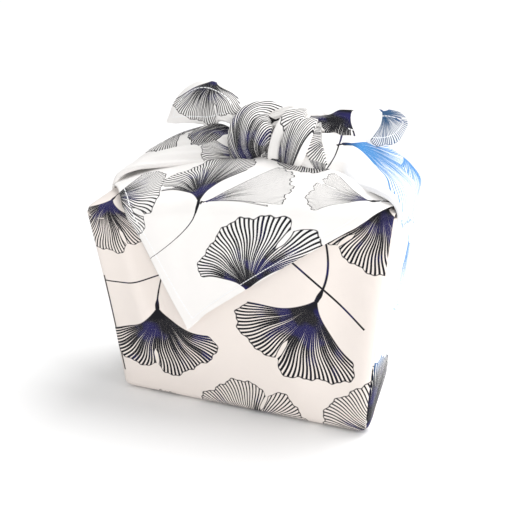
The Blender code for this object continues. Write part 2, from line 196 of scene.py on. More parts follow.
@dataclass(frozen=True)
class Crease:
    """A fold line in a sheet: from one place to another, with its width and depth.

    A sharp one has two flat flanks, and a soft one is rounded.
    """

    start: tuple[float, float]
    end: tuple[float, float]
    width: float
    depth: float
    sharp: bool = False


def metres(millimetres: Row) -> Row:
    """A row of millimetres in metres."""
    return tuple(value / 1000.0 for value in millimetres)


def creases_from(*rows: Row, sharp: int = 0) -> tuple[Crease, ...]:
    """Creases from rows of millimetres: start, end, width and depth. The first ones are sharp."""
    found = [metres(row) for row in rows]
    return tuple(Crease(r[:2], r[2:4], r[4], r[5], n < sharp) for n, r in enumerate(found))


def mix(a: Array | float, b: Array | float, share: Array | float) -> Array | float:
    """The value between a and b at a share of the way."""
    return a + (b - a) * share


def smooth(share: Array | float) -> Array:
    """An eased share, from 0 to 1."""
    held = np.clip(share, 0.0, 1.0)
    return held * held * (3.0 - 2.0 * held)


def relief(creases: tuple[Crease, ...], across: Array, along: Array) -> Array:
    """How far a sheet stands out for its creases.

    Args:
        creases: the fold lines.
        across: places across the sheet, in metres.
        along: places along the sheet, in metres.

    Returns:
        The height at each place, in metres.
    """
    total = np.zeros_like(across)
    for crease in creases:
        x0, y0 = crease.start
        dx, dy = crease.end[0] - x0, crease.end[1] - y0
        length = math.hypot(dx, dy)
        share = ((across - x0) * dx + (along - y0) * dy) / length**2
        nearest = np.clip(share, 0.0, 1.0)
        away = np.hypot(across - x0 - nearest * dx, along - y0 - nearest * dy) / crease.width
        if crease.sharp:
            shape = np.clip(1.0 - away, 0.0, 1.0)
        else:
            shape = np.exp(-(away**2))
        total = total + crease.depth * shape
    return total


def spline(values: Array, at: Array) -> Array:
    """Values at fractional indices, on a smooth curve through all of a table's rows.

    Args:
        values: the table, one row for each index.
        at: the fractional indices.

    Returns:
        One row for each index asked for.
    """
    last = len(values) - 1
    i = np.clip(np.floor(at).astype(int), 0, last - 1)
    t = at - i
    if values.ndim > 1:
        t = t[:, None]
    p0, p1 = values[np.maximum(i - 1, 0)], values[i]
    p2, p3 = values[i + 1], values[np.minimum(i + 2, last)]
    return 0.5 * (
        2.0 * p1
        + (p2 - p0) * t
        + (2.0 * p0 - 5.0 * p1 + 4.0 * p2 - p3) * t * t
        + (3.0 * p1 - p0 - 3.0 * p2 + p3) * t * t * t
    )


def softened(place: Placing, at: Array, path: Array, shift: Array | float, size: float) -> Array:
    """Points of a surface with its edges rounded, as means of the points round each place.

    Args:
        place: gives the surface's points.
        at: places across the surface.
        path: places along the surface.
        shift: how far the mean reaches across.
        size: how far the mean reaches along.

    Returns:
        One point for each place.
    """
    steps = (-1.0, -0.5, 0.0, 0.5, 1.0)
    total = np.zeros((len(at), 3))
    for i in steps:
        for j in steps:
            total += place(at + i * shift, path + j * size)
    return total / len(steps) ** 2


def unit(vectors: Array) -> Array:
    """Each row at length 1."""
    return vectors / np.maximum(np.linalg.norm(vectors, axis=1, keepdims=True), 1e-9)


WALL_CREASES: dict[int, tuple[Crease, ...]] = {
    0: creases_from(
        (-89.5, 150, -68, 40, 13, 5.2),
        (-77, 140, -54, 50, 12, -5.8),
        (-100, 20, -60, 70, 20, 1.4),
        (70, 20, 76, 125, 13, -1.8),
        (95, 15, 101, 125, 9, 1.6),
        (-10, 5, 15, 50, 20, -1.2),
        (30, 60, 60, 15, 16, 1),
        sharp=2,
    ),
    2: creases_from(
        (-90, 130, -50, 30, 15, 2.2),
        (-70, 150, -35, 60, 12, -1.8),
        (85, 135, 60, 40, 15, 2),
        (10, 130, 20, 20, 24, -1.4),
        (40, 150, -20, 110, 11, 1.2),
    ),
}


@dataclass(frozen=True)
class LoadShape:
    """The slack box that the cloth takes from the load: its corners, bulge and top."""

    half_width: float = 0.101
    half_depth: float = 0.045
    top_corners: tuple[tuple[float, float, float], ...] = (
        (-0.118, -0.058, 0.153),
        (0.112, -0.043, 0.168),
        (0.112, 0.046, 0.166),
        (-0.118, 0.040, 0.164),
    )
    flare_power: float = 1.25
    top_arch: float = 0.004
    wall_bulge: float = 0.0022
    edge_rounding: float = 0.0062
    ridge_rise: float = 0.009
    peak_rise: float = 0.012
    peak_x: float = 0.010
    peak_spread: float = 0.060

    def corner_tables(self) -> tuple[Array, Array]:
        """The base corners and the top corners, from the front left corner to the right."""
        w, d = self.half_width, self.half_depth
        base = np.array([(-w, -d, 0.0), (w, -d, 0.0), (w, d, 0.0), (-w, d, 0.0)])
        return base, np.array(self.top_corners)

    def split(self, around: Array) -> tuple[Array, Array]:
        """The face number and the share along that face."""
        turned = np.mod(around, 4.0)
        face = np.floor(turned).astype(int) % 4
        return face, turned - face

    def arch(self, around: Array) -> Array:
        """How far a long face's top edge stands above its corners' straight line."""
        face, along = self.split(around)
        return np.where(face % 2 == 0, self.top_arch * np.sin(np.pi * along), 0.0)

    def wall_height(self, around: Array) -> Array:
        """The height of the wall at each place round the outline."""
        _, top = self.corner_tables()
        face, along = self.split(around)
        straight = mix(top[face, 2], top[(face + 1) % 4, 2], along)
        return straight + self.arch(around)

    def top_frame(self, x: Array) -> tuple[Array, Array, Array]:
        """The middle and half of the top's depth at x, and x as a share from side to side."""
        _, top = self.corner_tables()
        left = (top[0, 0] + top[3, 0]) / 2
        right = (top[1, 0] + top[2, 0]) / 2
        share = np.clip((x - left) / (right - left), 0.0, 1.0)
        front = mix(top[0, 1], top[1, 1], share)
        back = mix(top[3, 1], top[2, 1], share)
        return (front + back) / 2, (back - front) / 2, share

    def top_height(self, x: Array, y: Array) -> Array:
        """The height of the inner layer over the top."""
        middle, half, share = self.top_frame(x)
        back_share = np.clip((y - middle) / half * 0.5 + 0.5, 0.0, 1.0)
        front_z = self.wall_height(np.minimum(share, 0.999))
        back_z = self.wall_height(3.0 - np.maximum(share, 0.001))
        _, top = self.corner_tables()
        half_width = (top[1, 0] - top[0, 0]) / 2
        from_end = half_width * (1.0 - np.abs(2.0 * share - 1.0))
        inside = np.clip(np.minimum(from_end, half - np.abs(y - middle)) / half, 0.0, 1.0)
        peak = self.peak_rise * np.exp(-(((x - self.peak_x) / self.peak_spread) ** 2))
        rise = (self.ridge_rise + peak) * np.sin(inside * np.pi / 2)
        return mix(front_z, back_z, back_share) + rise

    def plain(self, around: Array, path: Array) -> Array:
        """Points on the walls and the base before their edges are rounded.

        Args:
            around: the place round the outline, counted in faces from the front left corner.
            path: metres up the wall from the base edge, and negative under the base.

        Returns:
            One point for each place.
        """
        base, top = self.corner_tables()
        face, along = self.split(around)
        after = (face + 1) % 4
        height = self.wall_height(around)
        share = np.clip(path / height, 0.0, 1.0)
        lean = share**self.flare_power
        ends = []
        for corner in (face, after):
            x = mix(base[corner, 0], top[corner, 0], lean)
            y = mix(base[corner, 1], top[corner, 1], lean)
            ends.append(np.stack([x, y, top[corner, 2] * share], axis=1))
        point = ends[0] + (ends[1] - ends[0]) * along[:, None]
        under = np.minimum(path, 0.0)
        point[:, 0] *= np.maximum(1.0 + under / self.half_width, 0.0)
        point[:, 1] *= np.maximum(1.0 + under / self.half_depth, 0.0)
        outward = np.array([(0.0, -1.0), (1.0, 0.0), (0.0, 1.0), (-1.0, 0.0)])[face]
        swell = self.wall_bulge * np.sin(np.pi * along)
        for number, creases in WALL_CREASES.items():
            swell = swell + np.where(face == number, relief(creases, point[:, 0], path), 0.0)
        point[:, :2] += outward * (swell * np.sin(np.pi * share))[:, None]
        point[:, 2] += self.arch(around) * share
        return point

    def face_length(self, around: Array) -> Array:
        """The width of the face at each place round the outline."""
        face, _ = self.split(around)
        return np.where(face % 2 == 0, 2.0 * self.half_width, 2.0 * self.half_depth)

    def rounded(self, around: Array, path: Array) -> Array:
        """Points on the walls and the base with their edges rounded."""
        size = self.edge_rounding
        return softened(self.plain, around, path, size / self.face_length(around), size)


def far_edge(across: Array, along: Array) -> Array:
    """The distance from the cloth's edge where no edge is near."""
    return np.ones(len(across))


@dataclass
class SheetMaker:
    """Makes one sheet of the cloth from a flat grid, and joins sheets along their edges."""

    name: str
    leaves: tuple[Leaf, ...] = LEAVES
    parts: list[bpy.types.Mesh] = field(default_factory=list)

    def add(
        self,
        size: tuple[int, int],
        place: Placing,
        flat: Placing,
        edge: Placing,
        layer: Layer,
        tone: Placing | Tone,
    ) -> None:
        """Adds one grid to the piece.

        Args:
            size: how many squares the grid has across and along.
            place: gives a point for each pair of shares across and along.
            flat: gives the place on the flat cloth for each pair of shares.
            edge: gives the distance from the cloth's edge for each pair of shares.
            layer: the layer, which says whose leaves are printed there.
            tone: how the layer reads, or a tone for each pair of shares.
        """
        bm = bmesh.new()
        bmesh.ops.create_grid(bm, x_segments=size[0], y_segments=size[1], size=1.0)
        mesh = bpy.data.meshes.new(f"{self.name}_{len(self.parts)}")
        bm.to_mesh(mesh)
        bm.free()
        count = len(mesh.vertices)
        flat_grid = np.empty(count * 3)
        mesh.vertices.foreach_get("co", flat_grid)
        across = flat_grid.reshape(-1, 3)[:, 0] * 0.5 + 0.5
        along = flat_grid.reshape(-1, 3)[:, 1] * 0.5 + 0.5
        mesh.vertices.foreach_set("co", place(across, along).ravel())
        tones = np.full(count, tone.value) if isinstance(tone, Tone) else tone(across, along)
        edges = np.stack([edge(across, along), tones], axis=1)
        self.write_maps(mesh, flat(across, along), edges, layer)
        self.parts.append(mesh)

    def write_maps(
        self, mesh: bpy.types.Mesh, flat: Array, edges: Array, layer: Layer
    ) -> None:
        """Writes the maps that the print, the weave and the hem are drawn from."""
        corners = np.empty(len(mesh.loops), dtype=np.int32)
        mesh.loops.foreach_get("vertex_index", corners)
        totals = np.empty(len(mesh.polygons), dtype=np.int32)
        mesh.polygons.foreach_get("loop_total", totals)
        starts = np.empty(len(mesh.polygons), dtype=np.int32)
        mesh.polygons.foreach_get("loop_start", starts)
        face_of = np.repeat(np.arange(len(totals)), totals)
        middles = np.add.reduceat(flat[corners], starts, axis=0) / totals[:, None]
        own = [leaf for leaf in self.leaves if leaf.layer == layer]
        far = np.full(len(totals), FAR_AWAY)
        near, following = far.copy(), far.copy()
        near_leaf = np.full(len(totals), -1)
        next_leaf = np.full(len(totals), -1)
        for number, leaf in enumerate(own):
            away = self.leaf_distance(leaf, middles)
            first = away < near
            next_leaf = np.where(first, near_leaf, np.where(away < following, number, next_leaf))
            following = np.where(first, near, np.minimum(following, away))
            near_leaf = np.where(first, number, near_leaf)
            near = np.where(first, away, near)
        style = np.full((len(corners), 2), NO_FAN)
        weight = np.full((len(corners), 2), 0.5)
        for column, (name, chosen) in enumerate(((UV_NEAR, near_leaf), (UV_NEXT, next_leaf))):
            local = np.full((len(corners), 2), FAR_AWAY)
            for number, leaf in enumerate(own):
                picked = chosen[face_of] == number
                local[picked] = self.leaf_axes(leaf, flat[corners[picked]])
                style[picked, column] = leaf.notch if leaf.fan else NO_FAN
                weight[picked, column] = leaf.ink
            self.write(mesh, name, local)
        self.write(mesh, UV_STYLE, style)
        self.write(mesh, UV_INK, weight)
        self.write(mesh, UV_CLOTH, flat[corners])
        self.write(mesh, UV_EDGE, edges[corners])

    def leaf_axes(self, leaf: Leaf, flat: Array) -> Array:
        """Places in a leaf's own axes, in radii, with its stem made straight and of length 1."""
        turn = math.radians(leaf.heading)
        right = np.array([math.cos(turn), -math.sin(turn)])
        ahead = np.array([math.sin(turn), math.cos(turn)])
        away = flat - np.array([leaf.across, leaf.along])
        x, y = away @ right / leaf.radius, away @ ahead / leaf.radius
        x, y = self.widened(x, y, leaf.widening)
        longer = 1.0 + leaf.skew * x / np.maximum(np.hypot(x, y), 1e-6)
        x, y = np.where(y > 0.0, x / longer, x), np.where(y > 0.0, y / longer, y)
        back = np.minimum(y, 0.0)
        x = x + leaf.lean * back - leaf.bend * back**2
        return np.stack([x, np.where(y < 0.0, y / leaf.stem, y)], axis=1)

    def widened(self, x: Array, y: Array, factor: float) -> tuple[Array, Array]:
        """Turns places about the leaf's base, so that each fan fits the one drawn in the group."""
        reach, angle = np.hypot(x, y), np.arctan2(x, y)
        size = np.abs(angle)
        knee = min(np.pi / 2, WIDEST_TURN / factor)
        rest = (np.pi - knee * factor) / (np.pi - knee)
        turned = np.where(size < knee, size * factor, np.pi - (np.pi - size) * rest)
        turned = turned * np.sign(angle)
        return reach * np.sin(turned), reach * np.cos(turned)

    def leaf_distance(self, leaf: Leaf, flat: Array) -> Array:
        """How far each place is from a leaf, in radii, with 0 inside its fan or on its stem."""
        local = self.leaf_axes(leaf, flat)
        reach = np.hypot(local[:, 0], local[:, 1])
        in_fan = reach - 1.05 if leaf.fan else np.full(len(flat), FAR_AWAY)
        beyond = np.maximum(np.maximum(local[:, 1], -1.05 - local[:, 1]), 0.0)
        on_stem = np.hypot(np.maximum(np.abs(local[:, 0]) - 0.08, 0.0), beyond) - 0.02
        return np.where(local[:, 1] > -0.02, in_fan, np.minimum(on_stem, in_fan + 0.6))

    def write(self, mesh: bpy.types.Mesh, name: str, values: Array) -> None:
        """Writes one map, a pair of values for each corner of each face."""
        layer = mesh.uv_layers.new(name=name)
        layer.data.foreach_set("uv", values.astype(np.float32).ravel())

    def joined(self, weld: float) -> bpy.types.Object:
        """One object from all the grids, welded where their edges meet.

        Args:
            weld: how close two points are to be made one, in metres.

        Returns:
            The finished object, with its faces pointing out.
        """
        bm = bmesh.new()
        for part in self.parts:
            bm.from_mesh(part)
        bmesh.ops.remove_doubles(bm, verts=bm.verts, dist=weld)
        slivers = [face for face in bm.faces if face.calc_area() < 1e-12]
        bmesh.ops.delete(bm, geom=slivers, context="FACES_ONLY")
        bmesh.ops.recalc_face_normals(bm, faces=bm.faces)
        for face in bm.faces:
            face.smooth = True
        mesh = bpy.data.meshes.new(self.name)
        bm.to_mesh(mesh)
        bm.free()
        for part in self.parts:
            bpy.data.meshes.remove(part)
        piece = bpy.data.objects.new(self.name, mesh)
        bpy.context.scene.collection.objects.link(piece)
        return piece


@dataclass
class BodyCloth:
    """The base, the walls, the inner layer over the top, and the flap that hangs in front."""

    load: LoadShape
    cloth_thickness: float = 0.0006
    flap_tip: tuple[float, float] = (-0.0310, 0.0905)
    flap_tip_width: float = 0.0060
    left_bend_x: float = -0.085
    right_bend_x: float = 0.102
    left_slant: float = 0.85
    flap_lift: float = 0.0038
    tip_lift: float = 0.0044
    lift_run: float = 0.014
    under_run: float = 0.045
    turn_in: float = 0.014
    turn_run: float = 0.005
    tuck: float = 0.001
    end_tuck: float = 0.007
    end_run: float = 0.018
    hidden_end: float = 0.012
    hem: float = 0.0056
    hem_rise: float = 0.00015
    hem_run: float = 0.0012
    columns: int = 88
    side_columns: int = 30
    wall_rows: int = 74
    base_rows: int = 12
    flap_creases: tuple[Crease, ...] = creases_from(
        (-60, 52, -12, 40, 6, 1.4),
        (-75, 30, -20, 46, 5, -1),
        (46, 44, 85, 24, 5.5, 1.4),
        (40, 30, 78, 6, 7, -1),
        (-10, 36, -30, 4, 9, 0.6),
        (30, 30, 40, -20, 11, -0.6),
        (-60, -10, -40, -60, 10, 0.6),
    )

    def flap_sides(self, forward: Array) -> tuple[Array, Array]:
        """Where the flap's side edges lie, at distances forward of the front top edge."""
        _, top = self.load.corner_tables()
        tip_x, drop = self.flap_tip
        behind = np.minimum(forward, 0.0)
        left = np.maximum(self.left_bend_x + self.left_slant * behind, top[3, 0])
        right = np.minimum(self.right_bend_x - behind, top[2, 0])
        share = np.clip(forward / drop, 0.0, 1.0)
        half_tip = self.flap_tip_width / 2
        hanging_left = mix(self.left_bend_x, tip_x - half_tip, share)
        hanging_right = mix(self.right_bend_x, tip_x + half_tip, share)
        in_front = forward > 0.0
        return np.where(in_front, hanging_left, left), np.where(in_front, hanging_right, right)

    def over(self, x: Array, beyond: Array, from_front: bool) -> Array:
        """Points past a top edge: over the top, and then down the wall on the other side."""
        middle, half, share = self.load.top_frame(x)
        along = np.minimum(beyond, 2.0 * half)
        y = middle - half + along if from_front else middle + half - along
        point = np.stack([x, y, self.load.top_height(x, y)], axis=1)
        far = 3.0 - np.maximum(share, 0.001) if from_front else np.minimum(share, 0.999)
        drop = np.maximum(beyond - 2.0 * half, 0.0)
        down = self.load.plain(far, np.maximum(self.load.wall_height(far) - drop, 0.0))
        past = beyond > 2.0 * half
        point[past, 1:] = down[past, 1:]
        return point

    def raw(self, share: Array, path: Array, from_front: bool) -> Array:
        """A long sheet before its edges are rounded: up its wall, then over the top."""
        around = share if from_front else 3.0 - share
        height = self.load.wall_height(np.clip(around, 0.001, 2.999))
        point = self.load.plain(around, np.minimum(path, height))
        beyond = path - height
        over = beyond > 0.0
        if over.any():
            held = np.clip(share[over], 0.0, 1.0)
            if from_front:
                x = point[over, 0]
            else:
                _, half, _ = self.load.top_frame(point[over, 0])
                left, right = self.flap_sides(beyond[over] - 2.0 * half)
                x = mix(left, right, held)
            point[over] = self.over(x, beyond[over], from_front)
        return point

    def smoothed(self, share: Array, path: Array, from_front: bool) -> Array:
        """A long sheet with its edges rounded."""
        size = self.load.edge_rounding

        def place(across: Array, along: Array) -> Array:
            return self.raw(across, along, from_front)

        return softened(place, share, path, size / (2.0 * self.load.half_width), size)

    def back_length(self, share: Array) -> Array:
        """The back sheet's path from the base edge to the end of the flap."""
        x = mix(self.load.top_corners[3][0], self.load.top_corners[2][0], share)
        _, half, _ = self.load.top_frame(x)
        return self.load.wall_height(3.0 - np.clip(share, 0.001, 0.999)) + 2.0 * half

    def front_path(self, along: Array, share: Array) -> Array:
        """Metres up the front sheet at a share of its whole length."""
        height = self.load.wall_height(np.clip(share, 0.0, 0.999))
        end = height + 2.0 * self.load.half_depth - self.hidden_end
        return mix(-self.under_run, end, along)

    def back_path(self, along: Array, share: Array) -> Array:
        """Metres up the back sheet at a share of its whole length, flap included."""
        return mix(-self.under_run, self.back_length(share) + self.flap_tip[1], along)

    def front_place(self, across: Array, along: Array) -> Array:
        """Points of the front sheet and the inner layer that it becomes."""
        return self.smoothed(across, self.front_path(along, across), True)

    def back_place(self, across: Array, along: Array) -> Array:
        """Points of the back sheet and the flap that it becomes, lifted off the inner layer."""
        path = self.back_path(along, across)
        point = self.smoothed(across, path, False)
        step = 0.0008
        ahead = self.smoothed(across, path + step, False)
        behind = self.smoothed(across, path - step, False)
        tangent = unit((ahead - behind) * np.array([0.0, 1.0, 1.0]))
        out = np.stack([np.zeros(len(path)), tangent[:, 2], -tangent[:, 1]], axis=1)
        flat = self.back_flat(across, along)
        height = self.load.wall_height(3.0 - np.clip(across, 0.001, 0.999))
        risen = smooth((path - height + 0.002) / self.lift_run)
        lift = risen * (self.flap_lift + self.tip_lift * smooth(-flat[:, 1] / 0.09))
        edge = self.back_edge(across, along)
        lift = lift + risen * relief(self.flap_creases, flat[:, 0], flat[:, 1])
        lift = lift + risen * self.hem_rise * (1.0 - smooth((edge - self.hem) / self.hem_run))
        return point + out * lift[:, None]

    def front_flat(self, across: Array, along: Array) -> Array:
        """Places on the flat cloth for the front sheet."""
        point = self.front_place(across, along)
        return np.stack([point[:, 0], self.front_path(along, across)], axis=1)

    def back_flat(self, across: Array, along: Array) -> Array:
        """Places on the flat cloth for the back sheet: along is 0 at the front top edge."""
        path = self.back_path(along, across)
        point = self.raw(across, path, False)
        return np.stack([point[:, 0], self.back_length(across) - path], axis=1)

    def back_edge(self, across: Array, along: Array) -> Array:
        """How far the flap's cloth is from its own hemmed edges."""
        flat = self.back_flat(across, along)
        forward = -flat[:, 1]
        left, right = self.flap_sides(np.maximum(forward, -0.06))
        tip_x, drop = self.flap_tip
        left_cos = drop / math.hypot(drop, tip_x - self.left_bend_x)
        right_cos = drop / math.hypot(drop, self.right_bend_x - tip_x)
        from_left = (flat[:, 0] - left) * left_cos
        from_right = (right - flat[:, 0]) * right_cos
        return np.where(forward < -0.05, 1.0, np.minimum(from_left, from_right))

    def side_place(self, face: int) -> Placing:
        """Gives the points of one side wall, which turns in over the top edge."""
        inwards = -1.0 if face == 1 else 1.0

        def place(across: Array, along: Array) -> Array:
            around = face + across
            height = self.load.wall_height(np.minimum(around, face + 0.999))
            path = mix(-self.under_run, height + self.turn_in, along)
            point = self.load.rounded(around, np.minimum(path, height))
            turned = np.maximum(path - height, 0.0)
            point[:, 0] += inwards * turned
            from_end = 2.0 * self.load.half_depth * np.minimum(across, 1.0 - across)
            deep = self.tuck + self.end_tuck * (1.0 - smooth(from_end / self.end_run))
            tucked = self.load.top_height(point[:, 0], point[:, 1]) - deep
            point[:, 2] = mix(point[:, 2], tucked, smooth(turned / self.turn_run))
            return point

        return place

    def side_flat(self, face: int) -> Placing:
        """Gives the places on the flat cloth of one side wall."""

        def flat(across: Array, along: Array) -> Array:
            point = self.side_place(face)(across, along)
            return np.stack([point[:, 1], point[:, 2]], axis=1)

        return flat

    def build(self) -> bpy.types.Object:
        """Builds the piece and gives its cloth a thickness."""
        maker = SheetMaker("body_cloth")
        rows = self.wall_rows + self.base_rows + 48
        front, back = self.front_place, self.back_place
        maker.add((self.columns, rows), front, self.front_flat, far_edge, Layer.FRONT, Tone.SINGLE)
        size = (self.columns, rows + 44)
        maker.add(size, back, self.back_flat, self.back_edge, Layer.FLAP, Tone.DOUBLE)
        size = (self.side_columns, self.wall_rows)
        for face, layer in ((1, Layer.RIGHT_SIDE), (3, Layer.LEFT_SIDE)):
            place, flat = self.side_place(face), self.side_flat(face)
            maker.add(size, place, flat, far_edge, layer, Tone.SINGLE)
        piece = maker.joined(0.00002)
        thickness = piece.modifiers.new("Cloth thickness", "SOLIDIFY")
        thickness.thickness = self.cloth_thickness
        thickness.offset = -1.0
        return piece


@dataclass(frozen=True)
class Section:
    """One section of a gathered corner: its middle, facing, half sizes and curl."""

    place: Row
    facing: Row
    half_width: float
    half_thick: float
    curl: float = 0.0


def sections_from(*rows: Row) -> tuple[Section, ...]:
    """Sections from rows: the place in millimetres, the facing, and the sizes in millimetres."""
    return tuple(Section(metres(row[:3]), row[3:6], *metres(row[6:])) for row in rows)


@dataclass(frozen=True)
class Turn:
    """One section in the knot's own axes: across, up and out of its face, and half sizes."""

    across: float
    up: float
    out: float
    half_width: float
    half_thick: float


def turns_from(*rows: Row) -> tuple[Turn, ...]:
    """Turns from rows of millimetres."""
    return tuple(Turn(*metres(row)) for row in rows)


@dataclass(frozen=True)
class SquareKnot:
    """The knot's place and tilt, one corner's way through it, and the folds across its front."""

    centre: tuple[float, float, float] = (0.016, 0.006, 0.202)
    tilt: float = math.radians(30.0)
    turns: tuple[Turn, ...] = turns_from(
        (37, -9.1, 2, 10.8, 6.2),
        (23, -9.4, 5.6, 10.4, 5.6),
        (8, -12.4, -0.6, 10, 5.4),
        (-6, -15.6, -4, 10.6, 5.4),
        (-15, -16.6, 0, 13.4, 5.2),
        (-20.5, -11.6, 8.4, 15.8, 5),
        (-21.8, -1, 12.2, 16.6, 5),
        (-20.5, 10.6, 8.4, 15.8, 5),
        (-15, 16.6, 0, 13, 5.2),
        (-6, 15.6, -4, 10.2, 5.4),
        (8, 12.4, -0.6, 9, 5.4),
        (22, 12.4, 4, 5.8, 5),
        (34, 14.2, 1, 7.2, 4.2),
    )
    low_fold: tuple[Turn, ...] = turns_from(
        (1, -21.5, -3, 7, 2),
        (2.5, -16.5, 7, 8.6, 2.6),
        (4.5, -9, 12.6, 9.2, 2.8),
        (6.8, 1, 14.6, 9.2, 2.8),
        (8.5, 10, 13.2, 8.6, 2.6),
        (9.6, 18.5, 8.4, 7.4, 2.4),
        (9.6, 24.5, 0.5, 5.6, 2),
        (9, 23.5, -8.5, 4, 1.4),
    )
    over_fold: tuple[Turn, ...] = turns_from(
        (9, -22.5, -1, 6, 2),
        (11.2, -18.8, 8, 8.4, 2.8),
        (13.5, -13.5, 13.8, 9.8, 3.2),
        (15.5, -6.5, 17, 10.2, 3.4),
        (17.3, 1.5, 16.8, 9.8, 3.2),
        (18.6, 9, 13, 8.6, 2.8),
        (19, 14.5, 5, 7, 2.2),
        (18.5, 15, -5, 5, 1.4),
    )
    end_fold: tuple[Turn, ...] = turns_from(
        (39.5, -26.5, 1, 1.6, 1.2),
        (36.2, -22.5, 6, 3.4, 1.8),
        (32.2, -15.5, 10.8, 5.6, 2.4),
        (28.6, -8, 13.2, 6.2, 2.6),
        (26.6, -0.5, 13, 6, 2.6),
        (25, 7.5, 9.6, 5.2, 2.2),
        (24, 14, 3, 4.2, 1.8),
        (23.5, 15, -6, 3, 1.2),
    )

    def up(self) -> Array:
        """The knot's upright axis."""
        return np.array([0.0, math.sin(self.tilt), math.cos(self.tilt)])

    def face(self) -> Array:
        """The way that the knot faces."""
        return np.array([0.0, -math.cos(self.tilt), math.sin(self.tilt)])

    def section(self, turn: Turn, side: float, facing: Array, widen: float = 1.0) -> Section:
        """One section in the frame's own axes."""
        place = np.array(self.centre) + np.array([turn.across * side, 0.0, 0.0])
        place = place + self.up() * turn.up + self.face() * (turn.out * side)
        return Section(tuple(place), tuple(facing), turn.half_width * widen, turn.half_thick)

    def sections(self, side: float, entry: float) -> list[Section]:
        """A corner's sections through the knot.

        Args:
            side: 1 for the right corner, -1 for the left one.
            entry: how much wider the corner is where it comes in.

        Returns:
            The sections, from where the corner comes in to where it leaves.
        """
        widths = {0: entry, 1: mix(1.0, entry, 0.6)}
        return [
            self.section(turn, side, self.face(), widths.get(number, 1.0))
            for number, turn in enumerate(self.turns)
        ]

    def fold_sections(self, turns: tuple[Turn, ...]) -> list[Section]:
        """A fold's sections, which face outwards all the way round the knot."""
        found = []
        for turn in turns:
            facing = unit((self.up() * turn.up * 0.8 + self.face() * (turn.out + 0.006))[None])[0]
            found.append(self.section(turn, 1.0, facing))
        return found


